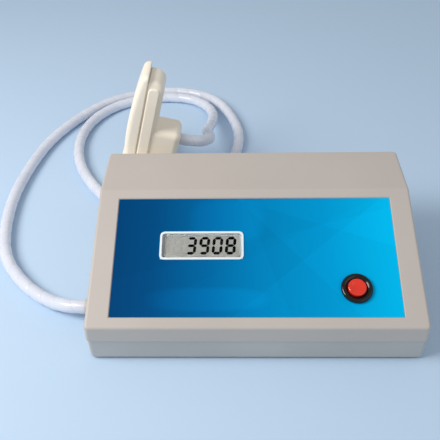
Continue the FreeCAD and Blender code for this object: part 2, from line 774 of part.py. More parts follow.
# Hose port in the left wall, its lock ring, and the two tubes from it to the sensor
PORT = placement("host_x - %s + parting_step" % HALF, "host_y + port_back", "port_up")
port_body = turned("x", [
    ("-port_flange_thick - port_nose", "port_bore"), ("-port_flange_thick - port_nose", "port_nose_radius"),
    ("-port_flange_thick", "port_nose_radius + parting_step"), ("-port_flange_thick", "port_flange"),
    ("0", "port_flange"), ("0", "port_neck"), ("port_inside", "port_neck"), ("port_inside", "0"),
    ("port_inside - port_end_wall", "0"), ("port_inside - port_end_wall", "port_bore")])
PORT_TUBE_Y = ("-tube_pitch/2", "tube_pitch/2")
nipples = [rod("nipple_radius", "nipple_length + port_end_wall/2", "port_inside - port_end_wall/2", y, "0",
               "x")
           for y in PORT_TUBE_Y]
nipple_bores = [rod("nipple_radius/2", "2*nipple_length + 2*port_end_wall", "port_inside - 2*port_end_wall",
                    y, "0", "x")
                for y in PORT_TUBE_Y]
node("hose_port", cut(fuse(port_body, *nipples), *nipple_bores), PORT)
lock_ring = cut(rod("port_lock", "port_lock_thick", "case_wall", "0", "0", "x"),
                rod("port_neck + port_gap/2", "3*port_lock_thick", "case_wall - port_lock_thick", "0", "0",
                    "x"))
node("port_lock_ring", group(lock_ring), PORT)

tubes = []
for port_y, barb_y in zip(PORT_TUBE_Y, BARB_Y):
    run = spots(("-%s + parting_step + port_inside" % HALF, "port_back + " + port_y, "port_up"),
                ("-%s + parting_step + port_inside + barb_length" % HALF, "port_back + " + port_y,
                 "port_up"),
                ("sensor_left - 2*barb_length", barb_y, BARB_Z),
                ("sensor_left", barb_y, BARB_Z))
    tubes.append(hollow_tube(run, number("tube_line"), number("tube_bore")))
node("sensor_tubes", shaped(*tubes), HOST)

# Ribbon cable from the display board down to the main board, a flat strip bent twice
up_end = spots(on_slope("display_x", "ribbon_up", BOARD_FACE + " - board_thick"))[0]
slope_turn = number(SLOPE) * math.pi / 180
out = Vector(0, -math.sin(slope_turn), math.cos(slope_turn))
bend = up_end - out * number("ribbon_bend")
foot = Vector(up_end.x, number("ribbon_foot"), number(BOARD_TOP))
path = bent_path([up_end, bend, foot + Vector(0, 0, number("ribbon_bend")), foot])
side = Vector(1, 0, 0) * (number("ribbon_width") / 2)
thick = Vector(0, math.cos(slope_turn), math.sin(slope_turn)) * (number("ribbon_thick") / 2)
strip = Part.makePolygon([up_end - side - thick, up_end + side - thick, up_end + side + thick,
                          up_end - side + thick, up_end - side - thick])
node("ribbon_cable", shaped(Part.Solid(path.makePipeShell([strip], True, False))), HOST)

# Battery pack on its foam pad, between the ribs, with its two leads
node("battery_pad", group(box("battery_left", "battery_left + battery_length", "battery_front",
                              "battery_front + battery_width", FLOOR_TOP, FLOOR_TOP + " + pad_thick")),
                              HOST)
pack_box = box("battery_left", "battery_left + battery_length", "battery_front",
               "battery_front + battery_width",
               FLOOR_TOP + " + pad_thick", FLOOR_TOP + " + pad_thick + battery_height")
node("battery_pack", rounded(pack_box, "battery_round", along("x")), HOST)
PACK_TOP = FLOOR_TOP + " + pad_thick + battery_height"
LEAD_Z = BOARD_TOP + " + lead_up"
LEAD_END = "board_right - board_edge"
SHIFTS = ("-lead_space/2", "lead_space/2")
leads = []
for shift in SHIFTS:
    y = "battery_front + battery_width/4 + " + shift
    end_y = "board_front + battery_plug + " + shift
    run = spots(("battery_left", y, PACK_TOP + " - lead_run"),
                ("battery_left - lead_run", y, PACK_TOP + " - lead_run"),
                ("board_right + lead_run", end_y, LEAD_Z), (LEAD_END, end_y, LEAD_Z))
    leads.append(tube_solid(run, number("lead_radius")))
node("battery_leads", shaped(*leads), HOST)

# Power jack in the rear wall, with its nut and two leads
JACK = placement("host_x + jack_x", "host_y + case_depth", "jack_up")
jack = turned("y", [
    ("jack_flange_thick", "jack_bore"), ("jack_flange_thick", "jack_flange"), ("0", "jack_flange"),
    ("0", "jack_barrel"), ("-jack_length", "jack_barrel"), ("-jack_length", "0"),
    ("jack_flange_thick - jack_pin_short", "0"), ("jack_flange_thick - jack_pin_short", "jack_pin"),
    ("jack_flange_thick - jack_depth", "jack_pin"), ("jack_flange_thick - jack_depth", "jack_sleeve"),
    ("jack_flange_thick - jack_mouth", "jack_sleeve"), ("jack_flange_thick - jack_mouth", "jack_bore")])
node("power_jack", jack, JACK)
jack_ring = cut(rod("jack_nut", "jack_nut_thick", "0", "-case_wall - jack_nut_thick", "0", "y"),
                rod("jack_barrel + nut_fit", "3*jack_nut_thick", "0", "-case_wall - 2*jack_nut_thick", "0",
                    "y"))
node("jack_nut", group(jack_ring), JACK)
leads = []
for shift in SHIFTS:
    start_x = "jack_x + " + shift
    end_y = "board_front + jack_plug + " + shift
    run = spots((start_x, "case_depth - jack_length", "jack_up"),
                (start_x, "case_depth - jack_length - lead_run", "jack_up"),
                ("jack_x - 4*lead_run + " + shift, "board_back + lead_run/2 + " + shift,
                 LEAD_Z + " + 2*lead_run"),
                ("board_right + lead_run", end_y, LEAD_Z), (LEAD_END, end_y, LEAD_Z))
    leads.append(tube_solid(run, number("lead_radius")))
node("jack_leads", shaped(*leads), HOST)

# Leads from the push button to the main board
leads = []
DEEP = "-barrel_length - terminal_length"
for spread, shift in zip(("-terminal_spread", "terminal_spread"), SHIFTS):
    start_x = "button_x + " + spread
    end_y = "board_front + button_plug + " + shift
    run = spots(on_slope(start_x, "button_up", DEEP), on_slope(start_x, "button_up", DEEP + " - lead_run"),
                ("board_right + 3*lead_run + (%s)" % spread, "(%s) + 1.5*(%s)" % (end_y, shift),
                 LEAD_Z + " - lead_run/4"),
                ("board_right + lead_run", end_y, LEAD_Z), (LEAD_END, end_y, LEAD_Z))
    leads.append(tube_solid(run, number("lead_radius")))
node("button_leads", shaped(*leads), HOST)

# Handset: two half shells with a seam at x = 0. Each has its share of the grip, the block and the head
GRIP_Y = "grip_depth/2"
HEAD_Y = "head_depth/2"
ROOM_Y = "(grip_depth/2 - shell_wall)"
HEAD_ROOM_Y = "(head_depth/2 - shell_wall)"
RIGHT_Y = "(grip_depth/2 - bar_rise)"
RIGHT_ROOM_Y = "(grip_depth/2 - bar_rise - shell_wall)"
BOW = "(((grip_top - bow_up)^2 + grip_bow^2)/(2*grip_bow))"
floor_line = at("z", "0")
seam_face = at("x", "0")
crown_edge = lambda edge: (along("y")(edge) and edge.BoundBox.XMax < -1
                           and edge.BoundBox.ZMin > number("grip_top - shell_wall") - 1)
outline = lambda edge: edge.BoundBox.YLength < 0.01 and not floor_line(edge) and not seam_face(edge)
left_blank = shared(box("-grip_left", "0", "-" + GRIP_Y, GRIP_Y, "0", "grip_top"),
                    rod(BOW, "grip_depth", BOW + " - grip_left", "-" + GRIP_Y, "bow_up", "y"))
left_grip = rounded(left_blank, "crown_round", crown_edge)
left_grip = rounded(left_grip, "grip_round_left", outline)
left_grip = rounded(left_grip, "seam_round_left", lambda edge: seam_face(edge) and not floor_line(edge))
left_head = box("-grip_left", "0", "-" + HEAD_Y, HEAD_Y, "-head_drop", "head_top")
left_head = rounded(left_head, "head_round", lambda edge: not seam_face(edge))
left_hollow = shared(box("-grip_left", "shell_wall", "-" + ROOM_Y, ROOM_Y, "0", "grip_top - shell_wall"),
                     rod(BOW + " - shell_wall", "grip_depth", BOW + " - grip_left", "-" + GRIP_Y,
                         "bow_up", "y"))
left_room = fuse(rounded(left_hollow, "crown_round - shell_wall", crown_edge),
                 box("-grip_left + shell_wall", "shell_wall", "-" + HEAD_ROOM_Y, HEAD_ROOM_Y,
                     "-head_drop + shell_wall", "head_top - shell_wall"))
tube_way = rod("flow_radius + flow_fit", "2*head_depth", "flow_across", "-head_depth", "flow_up", "y")
SCREW_UPS = ("grip_screw_top", "grip_screw_low")
left_bosses = [rod("grip_boss", "grip_left - grip_boss_in", "-grip_left + grip_boss_in", "0", up, "x")
               for up in SCREW_UPS]
shank_ways = [rod("small_shank + screw_gap", "grip_left + grip_right - 1 - shell_wall", "-grip_left", "0",
                  up, "x")
              for up in SCREW_UPS]
screw_beds = [rod("small_head + screw_gap", "grip_screw_deep + small_head_height + 1",
                  "-grip_left - 1", "0", up, "x")
              for up in SCREW_UPS]
left_shell = cut(fuse(left_grip, left_head), left_room)
node("handset_left_shell", cut(fuse(left_shell, *left_bosses), tube_way, *shank_ways, *screw_beds), HANDSET)

RIGHT_TOP = "grip_top - grip_step"
shoulder_edge = lambda edge: (along("y")(edge) and edge.BoundBox.XMin > number("grip_right - shell_wall") - 1
                              and edge.BoundBox.ZMin > number(RIGHT_TOP + " - shell_wall") - 1)
right_grip = rounded(box("0", "grip_right", "-" + RIGHT_Y, RIGHT_Y, "0", RIGHT_TOP), "shoulder_round",
                     shoulder_edge)
right_grip = rounded(right_grip, "grip_round_right", outline)
right_grip = rounded(right_grip, "seam_round_right", lambda edge: seam_face(edge) and not floor_line(edge))
grip_bar = rounded(box("bar_in", "bar_out", "-" + GRIP_Y, GRIP_Y, "0", "bar_top"), "bar_end_round",
                   lambda edge: along("y")(edge) and not floor_line(edge))
grip_bar = rounded(grip_bar, "bar_round", outline)
BLOCK_IN = "grip_right/2"
BLOCK_LOW = "(block_top - block_rise*(grip_right - %s)/(block_reach - grip_right))" % BLOCK_IN
block = side_prism("2*" + RIGHT_Y, [(BLOCK_IN, "0"), ("block_reach", "0"),
                                  ("block_reach", "block_top + block_rise"),
                                  (BLOCK_IN, BLOCK_LOW)], "XZ_Plane")
doc.recompute()
inner_face = at("x", BLOCK_IN)
block = rounded(block, "block_round", lambda edge: not inner_face(edge) and not floor_line(edge))
right_head = box("0", "block_reach", "-" + HEAD_Y, HEAD_Y, "-head_drop", "head_top")
right_head = rounded(right_head, "head_round", lambda edge: not seam_face(edge))
right_room = fuse(rounded(box("-shell_wall", "grip_right - shell_wall", "-" + RIGHT_ROOM_Y, RIGHT_ROOM_Y, "0",
                              RIGHT_TOP + " - shell_wall"), "shoulder_round - shell_wall", shoulder_edge),
                  side_prism("2*" + RIGHT_ROOM_Y, [
                      (BLOCK_IN, "0"), ("block_reach - shell_wall", "0"),
                      ("block_reach - shell_wall", "block_top + block_rise - shell_wall"),
                      (BLOCK_IN, BLOCK_LOW + " - shell_wall")], "XZ_Plane"),
                  box("-shell_wall", "block_reach - shell_wall", "-" + HEAD_ROOM_Y, HEAD_ROOM_Y,
                      "-head_drop + shell_wall", "head_top - shell_wall"))
right_bosses = [rod("grip_boss", "grip_right - 1", "0", "0", up, "x") for up in SCREW_UPS]
hose_way = rod("gland_radius + port_gap", "4*shell_wall", "block_reach - 2*shell_wall", "0", "hose_up", "x")
right_shell = cut(fuse(right_grip, grip_bar, block, right_head), right_room)
node("handset_right_shell", cut(fuse(right_shell, *right_bosses), tube_way, *shank_ways, hose_way), HANDSET)

handset_screws = []
for up in SCREW_UPS:
    head = rod("small_head", "small_head_height", "-grip_left + grip_screw_deep", "0", up, "x")
    start = "-grip_left + grip_screw_deep + small_head_height"
    shank = rod("small_shank", "grip_right - shell_wall - 3 - (%s)" % start, start, "0", up, "x")
    handset_screws.append(fuse(head, shank))
node("handset_screws", group(*handset_screws), HANDSET)

# Flow tube across the head, with a throat and two pressure taps, held by a ring at each end
END = "flow_length/2"
SOCKET = "(flow_length/2 - socket_depth)"
flow_body = turned("y", [
    ("-" + END, "flow_bore + grille_ledge"), ("-" + END, "flow_radius"), (END, "flow_radius"),
    (END, "flow_bore"),
    (SOCKET, "flow_bore"), (SOCKET, "mouth_bore"), ("throat_length/2 + cone_length", "mouth_bore"),
    ("throat_length/2", "throat"), ("-throat_length/2", "throat"), ("-throat_length/2 - cone_length",
                                                                    "flow_bore"),
    ("-%s + grille_sink" % END, "flow_bore"), ("-%s + grille_sink" % END, "flow_bore + grille_ledge")])
TAPS = ("0", "tap_back")
TAP_TOP = "flow_radius + tap_height"
taps = [rod("tap_radius", "tap_height + 1", "0", y, "flow_radius - 1") for y in TAPS]
tap_nipples = [rod("nipple_radius", "nipple_length + 1", "0", y, TAP_TOP + " - 1") for y in TAPS]
tap_bores = [rod("nipple_radius/2", "2*flow_radius", "0", y, "0") for y in TAPS]
node("flow_tube", cut(fuse(flow_body, *taps, *tap_nipples), *tap_bores), FLOW)

RING = "(%s - flow_across*sin(lean) + flow_up*cos(lean))" % RISE
rings = []
for start in ("head_depth/2", "-head_depth/2 - ring_thick"):
    rings.append(cut(rod(RING, "ring_thick", "0", start, "0", "y"),
                     rod("flow_radius + flow_fit", "3*ring_thick", "0", start + " - ring_thick", "0", "y")))
node("end_rings", group(*rings), FLOW)

# Grille in the outlet: a plate with one hole in the middle and six round it
grille_plate = rod("flow_bore + grille_ledge - mouth_fit", "grille_sink", "0", "-" + END, "0", "y")
grille_holes = [rod("grille_hole", "3*grille_sink", "0", "-%s - grille_sink" % END, "0", "y")]
for turn in range(6):
    grille_holes.append(rod("grille_hole", "3*grille_sink", "grille_pitch*cos(60*%d)" % turn,
                            "-%s - grille_sink" % END, "grille_pitch*sin(60*%d)" % turn, "y"))
node("outlet_grille", cut(grille_plate, *grille_holes), FLOW)

# Mouthpiece pushed into the socket, with its sealing ring
SPIGOT = "flow_bore - mouth_fit"
GROOVE_OUT = "%s + seal_back + seal_radius + seal_gap" % SOCKET
GROOVE_IN = "%s + seal_back - seal_radius - seal_gap" % SOCKET
GROOVE = "flow_bore - 2*seal_radius - 2*seal_gap"
SHOULDER = "(%s + mouth_flange_thick)" % END
TIP = "(%s + mouth_length)" % SHOULDER
mouthpiece = turned("y", [
    (SOCKET, "mouth_bore"), (SOCKET, SPIGOT), (GROOVE_IN, SPIGOT), (GROOVE_IN, GROOVE),
    (GROOVE_OUT, GROOVE),
    (GROOVE_OUT, SPIGOT), (END, SPIGOT), (END, "mouth_flange"), (SHOULDER, "mouth_flange"),
    (SHOULDER, "mouth_radius"), (TIP, "mouth_end"), (TIP, "mouth_bore")])
node("mouthpiece", mouthpiece, FLOW)
seal = bind(doc.addObject("Part::Torus", "Seal"), Radius1="flow_bore - seal_radius - seal_gap",
            Radius2="seal_radius")
seal.setExpression("Placement", placement("0", SOCKET + " + seal_back", "0", *TURNS["y"]))
node("mouthpiece_seal", group(seal), FLOW)

# Gland in the block's right face, and the two tubes from the taps to it
GLAND_FACE = "(block_reach - gland_face)"
GLAND_SEAT = "(block_reach - shell_wall)"
GLAND_END = "(block_reach - shell_wall - gland_inside)"
gland_body = turned("x", [
    (GLAND_FACE, "port_bore"), (GLAND_FACE, "gland_radius"), (GLAND_SEAT, "gland_radius"),
    (GLAND_SEAT, "gland_flange"), (GLAND_SEAT + " - gland_flange_thick", "gland_flange"),
    (GLAND_SEAT + " - gland_flange_thick", "gland_radius"), (GLAND_END, "gland_radius"), (GLAND_END, "0"),
    (GLAND_END + " + port_end_wall", "0"), (GLAND_END + " + port_end_wall", "port_bore")])
gland_nipples = [rod("nipple_radius", "nipple_length + 1", GLAND_END + " - nipple_length", y, "0", "x")
                 for y in PORT_TUBE_Y]
gland_bores = [rod("nipple_radius/2", "2*nipple_length + 2*port_end_wall", GLAND_END + " - 2*nipple_length",
                   y, "0", "x")
               for y in PORT_TUBE_Y]
node("handset_gland", cut(fuse(gland_body, *gland_nipples), *gland_bores), GLAND)

tubes = []
for back, port_y in (("0", PORT_TUBE_Y[0]), ("tap_back", PORT_TUBE_Y[1])):
    run = spots(("flow_across", back, "flow_up + " + TAP_TOP),
                ("flow_across", back, "flow_up + %s + nipple_length + 2" % TAP_TOP),
                ("flow_across + 1", port_y, "hose_up"), (GLAND_END, port_y, "hose_up"))
    tubes.append(hollow_tube(run, number("tube_line"), number("tube_bore")))
node("tap_tubes", shaped(*tubes), HANDSET)

# Hose: the points of its route on the table, chosen by hand from port to gland
case_x = number("host_x")
case_y = number("host_y")
port_face = Vector(case_x - number(HALF + " - parting_step + port_flange_thick + port_nose"),
                   case_y + number("port_back"), number("port_up"))
turn = number("lean") * math.pi / 180
exit_way = Vector(math.cos(turn), 0, -math.sin(turn))
gland_root = Vector(number("handset_x + hose_up*sin(lean)"), number("handset_y"),
                    number(RISE + " + hose_up*cos(lean)"))
gland_point = gland_root + exit_way * number(GLAND_FACE)
route = [
    port_face,
    Vector(-116, -87, 10), Vector(-135, -76, 4.5), Vector(-156, -59, 4.5), Vector(-175, -33, 4.5),
    Vector(-184, 2, 4.5), Vector(-187.5, 42, 4.5), Vector(-184, 84, 4.5), Vector(-176, 124, 4.5),
    Vector(-158, 162, 4.5), Vector(-133, 195, 4.5), Vector(-98, 211, 4.5), Vector(-60, 214, 4.5),
    Vector(-28, 197, 4.5), Vector(-11, 160, 4.5), Vector(-4, 121, 4.5), Vector(-14, 80, 4.5),
    Vector(-35, 45, 4.5), Vector(-65, 20, 4.5), Vector(-100, 21, 4.5), Vector(-127, 54, 4.5),
    Vector(-143, 85, 4.5), Vector(-150, 120, 4.5), Vector(-145, 157, 4.5), Vector(-124, 187, 4.5),
    Vector(-90, 202, 4.5), Vector(-54, 199, 4.5), Vector(-37, 184.5, 4.5), Vector(-30, 164.5, 7),
    Vector(-29.5, 142.5, 12.5), Vector(-31.8, 119.5, 19), Vector(-33.5, 98, 27.5),
    Vector(-28, 77, 34), gland_point + exit_way * 14, gland_point]
hose = shaped(tube_solid(route, number("hose_radius"), "hose"))
hose.Label = "hose"
nodes["hose"] = hose

# Check and write every piece
doc.recompute()
for obj in doc.Objects:
    if "Invalid" in obj.State or "Error" in obj.State:
        raise RuntimeError(obj.Name + " " + obj.Label + " did not build")
os.makedirs("parts", exist_ok=True)
for name, obj in nodes.items():
    shape = obj.Shape
    if shape.isNull() or not shape.isValid() or not shape.Solids:
        raise RuntimeError(name + " has no sound shape")
    box_ = shape.BoundBox
    print("%-20s solids %2d  volume %9.1f  x %.1f..%.1f y %.1f..%.1f z %.1f..%.1f" % (
        name, len(shape.Solids), shape.Volume, box_.XMin, box_.XMax, box_.YMin, box_.YMax, box_.ZMin,
        box_.ZMax))
    shape.exportStep("parts/%s.step" % name)
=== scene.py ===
import math

import bpy
import numpy as np
from mathutils import Matrix, Vector


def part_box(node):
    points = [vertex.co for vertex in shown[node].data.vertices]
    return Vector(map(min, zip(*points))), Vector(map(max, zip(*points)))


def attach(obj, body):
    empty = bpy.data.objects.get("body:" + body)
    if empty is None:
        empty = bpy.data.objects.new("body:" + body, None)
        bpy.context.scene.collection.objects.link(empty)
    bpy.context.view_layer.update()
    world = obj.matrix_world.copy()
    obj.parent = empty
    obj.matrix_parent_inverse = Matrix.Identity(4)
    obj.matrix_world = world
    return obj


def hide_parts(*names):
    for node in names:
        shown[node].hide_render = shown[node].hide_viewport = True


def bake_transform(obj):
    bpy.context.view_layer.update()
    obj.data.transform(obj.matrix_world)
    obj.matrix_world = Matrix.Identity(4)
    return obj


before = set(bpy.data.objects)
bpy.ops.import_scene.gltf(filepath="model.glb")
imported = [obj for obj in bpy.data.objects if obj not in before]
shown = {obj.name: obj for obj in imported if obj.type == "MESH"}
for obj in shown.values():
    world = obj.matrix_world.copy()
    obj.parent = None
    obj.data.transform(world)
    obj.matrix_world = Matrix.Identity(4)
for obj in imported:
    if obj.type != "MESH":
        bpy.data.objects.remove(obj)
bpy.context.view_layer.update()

# Lower shell
# The tray of the case, injection moulded in grey ABS with a fine spark-eroded grain.
# It stands on four feet and takes four screws from below.


def screen(red, green, blue):
    """A colour as it looks on screen, 0 to 255, as the light values that a shader takes."""
    light = [(v / 255 / 12.92) if v <= 10 else ((v / 255 + 0.055) / 1.055) ** 2.4 for v in (red, green, blue)]
    return (*light, 1.0)


def new_material(name):
    material = bpy.data.materials.new(name)
    material.use_nodes = True
    shader = material.node_tree.nodes["Principled BSDF"]
    return material, material.node_tree, shader


def place_on(tree, scale, detail=2.0, roughness=0.5):
    """A noise fixed to the object, in metres."""
    where = tree.nodes.new("ShaderNodeTexCoord")
    noise = tree.nodes.new("ShaderNodeTexNoise")
    noise.inputs["Scale"].default_value = scale
    noise.inputs["Detail"].default_value = detail
    noise.inputs["Roughness"].default_value = roughness
    tree.links.new(where.outputs["Object"], noise.inputs["Vector"])
    return noise


def blend_colours(tree, factor, first, second, low=0.35, high=0.65):
    ramp = tree.nodes.new("ShaderNodeValToRGB")
    ramp.color_ramp.elements[0].position = low
    ramp.color_ramp.elements[0].color = first
    ramp.color_ramp.elements[1].position = high
    ramp.color_ramp.elements[1].color = second
    tree.links.new(factor, ramp.inputs["Fac"])
    return ramp


def shade(colour, by):
    return (*[min(1.0, part * by) for part in colour[:3]], 1.0)


def paint(tree, shader, cloud, first, second):
    """The surface's colour: patches of two near tones."""
    tint = blend_colours(tree, cloud.outputs["Fac"], first, second)
    tree.links.new(tint.outputs["Color"], shader.inputs["Base Color"])


def relief(tree, shader, height, strength, depth):
    """Fine relief that is too small to be modelled."""
    bump = tree.nodes.new("ShaderNodeBump")
    bump.inputs["Strength"].default_value = strength
    bump.inputs["Distance"].default_value = depth
    tree.links.new(height, bump.inputs["Height"])
    tree.links.new(bump.outputs["Normal"], shader.inputs["Normal"])


def uneven_gloss(tree, shader, cloud, low, high):
    """A roughness that drifts between two values."""
    gloss = tree.nodes.new("ShaderNodeMapRange")
    gloss.inputs["To Min"].default_value = low
    gloss.inputs["To Max"].default_value = high
    tree.links.new(cloud.outputs["Fac"], gloss.inputs["Value"])
    tree.links.new(gloss.outputs["Result"], shader.inputs["Roughness"])


def moulded(name, colour, roughness=0.5, grain_size=0.0006, grain=0.12, drift=0.05):
    """Moulded plastic: a slow drift of colour, a grain in the surface and uneven gloss."""
    material, tree, shader = new_material(name)
    cloud = place_on(tree, 14.0, 3.0)
    paint(tree, shader, cloud, shade(colour, 1 - drift), shade(colour, 1 + drift))
    speck = place_on(tree, 1 / grain_size, 2.0, 0.6)
    relief(tree, shader, speck.outputs["Fac"], grain, grain_size / 4)
    uneven_gloss(tree, shader, cloud, roughness - 0.06, roughness + 0.06)
    return material


def finish_node(name, material):
    """Give a CAD piece its material."""
    for slot in shown[name].material_slots:
        slot.material = material


tray_grey = moulded("tray_grey", screen(190, 188, 184), roughness=0.45)
finish_node("lower_shell", tray_grey)

# Rubber feet
# Four turned feet in black rubber, glued in round beds under the tray.
# Each has a rounded rim and a shallow cup in its sole, which keeps it from sliding.


def turned_shape(name, profile, sides=64):
    """A closed mesh turned about Z from corners of radius and height.

    The profile starts and ends on the axis, or else its last corner joins its first."""
    verts = []
    faces = []
    rings = []
    for radius, height in profile:
        if radius < 1e-9:
            rings.append([len(verts)])
            verts.append((0.0, 0.0, height))
        else:
            rings.append(list(range(len(verts), len(verts) + sides)))
            for k in range(sides):
                angle = 2 * math.pi * k / sides
                verts.append((radius * math.cos(angle), radius * math.sin(angle), height))
    pairs = list(zip(rings, rings[1:]))
    if len(rings[0]) > 1 and len(rings[-1]) > 1:
        pairs.append((rings[-1], rings[0]))
    for low, high in pairs:
        for k in range(sides):
            after = (k + 1) % sides
            if len(low) == 1:
                faces.append((low[0], high[after], high[k]))
            elif len(high) == 1:
                faces.append((low[k], low[after], high[0]))
            else:
                faces.append((low[k], low[after], high[after], high[k]))
    mesh = bpy.data.meshes.new(name)
    mesh.from_pydata(verts, [], faces)
    mesh.validate()
    return mesh


def smooth(mesh, angle=35.0):
    """Round shading, broken where two faces meet sharply."""
    for face in mesh.polygons:
        face.use_smooth = True
    mesh.set_sharp_from_angle(angle=math.radians(angle))
    return mesh


def arc(centre, radius, start, end, steps=8):
    """Corners along a rounded edge of a profile, from one angle to another in degrees."""
    across, height = centre
    turns = [math.radians(start + (end - start) * k / steps) for k in range(steps + 1)]
    return [(across + radius * math.cos(turn), height + radius * math.sin(turn)) for turn in turns]


def put_in_scene(name, data):
    thing = bpy.data.objects.new(name, data)
    bpy.context.scene.collection.objects.link(thing)
    return thing


def final_mesh(thing):
    """The mesh of a thing after its modifiers or from its curve."""
    bpy.context.view_layer.update()
    graph = bpy.context.evaluated_depsgraph_get()
    return bpy.data.meshes.new_from_object(thing.evaluated_get(graph))


def add_piece(name, mesh, material, body, node=None):
    """Put a finished mesh in the scene, riding on its body and standing for its CAD solids."""
    mesh.materials.clear()
    mesh.materials.append(material)
    piece = put_in_scene(name, mesh)
    if node:
        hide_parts(node)
    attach(piece, body)
    return piece


def set_out_tree():
    """Geometry Nodes: one pattern piece is set out on points, turned and made real."""
    tree = bpy.data.node_groups.new("Set out", "GeometryNodeTree")
    face = tree.interface
    face.new_socket("Spots", in_out="INPUT", socket_type="NodeSocketGeometry")
    pattern_in = face.new_socket("Pattern", in_out="INPUT", socket_type="NodeSocketObject")
    turn_in = face.new_socket("Turn", in_out="INPUT", socket_type="NodeSocketVector")
    finish_in = face.new_socket("Finish", in_out="INPUT", socket_type="NodeSocketMaterial")
    face.new_socket("Pieces", in_out="OUTPUT", socket_type="NodeSocketGeometry")
    start = tree.nodes.new("NodeGroupInput")
    pattern = tree.nodes.new("GeometryNodeObjectInfo")
    place = tree.nodes.new("GeometryNodeInstanceOnPoints")
    turn = tree.nodes.new("FunctionNodeEulerToRotation")
    real = tree.nodes.new("GeometryNodeRealizeInstances")
    paint = tree.nodes.new("GeometryNodeSetMaterial")
    end = tree.nodes.new("NodeGroupOutput")
    link = tree.links.new
    link(start.outputs["Spots"], place.inputs["Points"])
    link(start.outputs["Pattern"], pattern.inputs["Object"])
    link(pattern.outputs["Geometry"], place.inputs["Instance"])
    link(start.outputs["Turn"], turn.inputs["Euler"])
    link(turn.outputs["Rotation"], place.inputs["Rotation"])
    link(place.outputs["Instances"], real.inputs["Geometry"])
    link(real.outputs["Geometry"], paint.inputs["Geometry"])
    link(start.outputs["Finish"], paint.inputs["Material"])
    link(paint.outputs["Geometry"], end.inputs["Pieces"])
    return tree, pattern_in.identifier, turn_in.identifier, finish_in.identifier


SET_OUT = set_out_tree()


def set_out(name, pattern_mesh, spots, turn, material):
    """The mesh of one pattern piece repeated on spots."""
    tree, pattern_key, turn_key, finish_key = SET_OUT
    pattern = put_in_scene(name + "_pattern", pattern_mesh)
    points = bpy.data.meshes.new(name + "_spots")
    points.from_pydata([tuple(spot) for spot in spots], [], [])
    carrier = put_in_scene(name + "_carrier", points)
    modifier = carrier.modifiers.new("Set out", "NODES")
    modifier.node_group = tree
    modifier[pattern_key] = pattern
    modifier[turn_key] = turn
    modifier[finish_key] = material
    mesh = final_mesh(carrier)
    mesh.name = name
    bpy.data.objects.remove(carrier)
    bpy.data.objects.remove(pattern)
    return mesh


def corner_spots(node, inset, height):
    """The four spots of a set of round pieces, from the box of its CAD solids."""
    low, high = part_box(node)
    sides = (low[0] + inset, high[0] - inset)
    ends = (low[1] + inset, high[1] - inset)
    return [(x, y, height) for x in sides for y in ends]


rubber = moulded("rubber", screen(38, 38, 41), roughness=0.75, grain=0.25)
foot_radius = 0.006
foot_edge = 0.0006
cup_radius = 0.0036
cup_depth = 0.0004
foot_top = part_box("rubber_feet")[1][2]
foot_profile = [(0.0, cup_depth), (cup_radius, cup_depth)]
foot_profile += arc((cup_radius + cup_depth, cup_depth), cup_depth, 180, 270, 3)
foot_profile += arc((foot_radius - foot_edge, foot_edge), foot_edge, 270, 360, 4)
foot_profile += [(foot_radius, foot_top), (0.0, foot_top)]
foot = smooth(turned_shape("foot", foot_profile))
feet = set_out("feet", foot, corner_spots("rubber_feet", foot_radius, 0.0), (0, 0, 0), rubber)
add_piece("feet", feet, rubber, "host", "rubber_feet")

# Upper shell
# The sloped lid, moulded in warm light grey. It closes over a tongue round the tray,
# and its front slope has a shallow bed for the printed label.

lid_grey = moulded("lid_grey", screen(194, 186, 179), roughness=0.38, drift=0.02)
finish_node("upper_shell", lid_grey)

# Case screws
# Four zinc-plated pan-head screws in deep holes under the tray, with a cross recess
# for the driver and a coarse thread for plastic.


def screw_shape(name, head_radius, head_height, shank_radius, length, pitch=0.0013):
    """A screw along +Z with its head below zero: a domed head with a cross recess, and a threaded shank."""
    dome = arc((head_radius * 0.55, -head_height * 0.5), head_height * 0.5, -90, 0, 5)
    dome = [(head_radius * 0.45 + radius, height) for radius, height in dome]
    scale = head_radius / dome[-1][0]
    head = [(radius * scale, height) for radius, height in dome]
    profile = [(0.0, -head_height)] + head + [(head_radius, 0.0), (shank_radius, 0.0)]
    crests = int(length / pitch)
    for k in range(crests):
        start = length * k / crests
        profile += [(shank_radius * 0.82, start + pitch * 0.15), (shank_radius, start + pitch * 0.5),
                    (shank_radius * 0.82, start + pitch * 0.85)]
    profile += [(0.0, length)]
    body = turned_shape(name, profile, 32)
    holder = put_in_scene(name, body)
    depth = head_height * 0.6
    arm = head_radius * 0.62
    blade = head_radius * 0.13
    for wide, deep in ((arm, blade), (blade, arm)):
        cross = bpy.data.meshes.new("cross")
        corners = [(x, y, z) for x in (-wide, wide) for y in (-deep, deep)
                   for z in (-head_height * 1.5, -head_height + depth)]
        sides = [(0, 1, 3, 2), (4, 6, 7, 5), (0, 4, 5, 1), (2, 3, 7, 6), (0, 2, 6, 4), (1, 5, 7, 3)]
        cross.from_pydata(corners, [], sides)
        cutter = put_in_scene("cross", cross)
        slot_cut = holder.modifiers.new("Recess", "BOOLEAN")
        slot_cut.operation = "DIFFERENCE"
        slot_cut.solver = "EXACT"
        slot_cut.object = cutter
    mesh = final_mesh(holder)
    cutters = [modifier.object for modifier in holder.modifiers]
    for used in [holder] + cutters:
        bpy.data.objects.remove(used)
    return smooth(mesh, 30)


def plated(name, colour, roughness=0.3):
    """Plated steel: fine uneven brightness, as from tumbling."""
    material, tree, shader = new_material(name)
    cloud = place_on(tree, 900.0, 4.0)
    paint(tree, shader, cloud, shade(colour, 0.8), colour)
    shader.inputs["Metallic"].default_value = 1.0
    uneven_gloss(tree, shader, cloud, roughness - 0.1, roughness + 0.15)
    return material


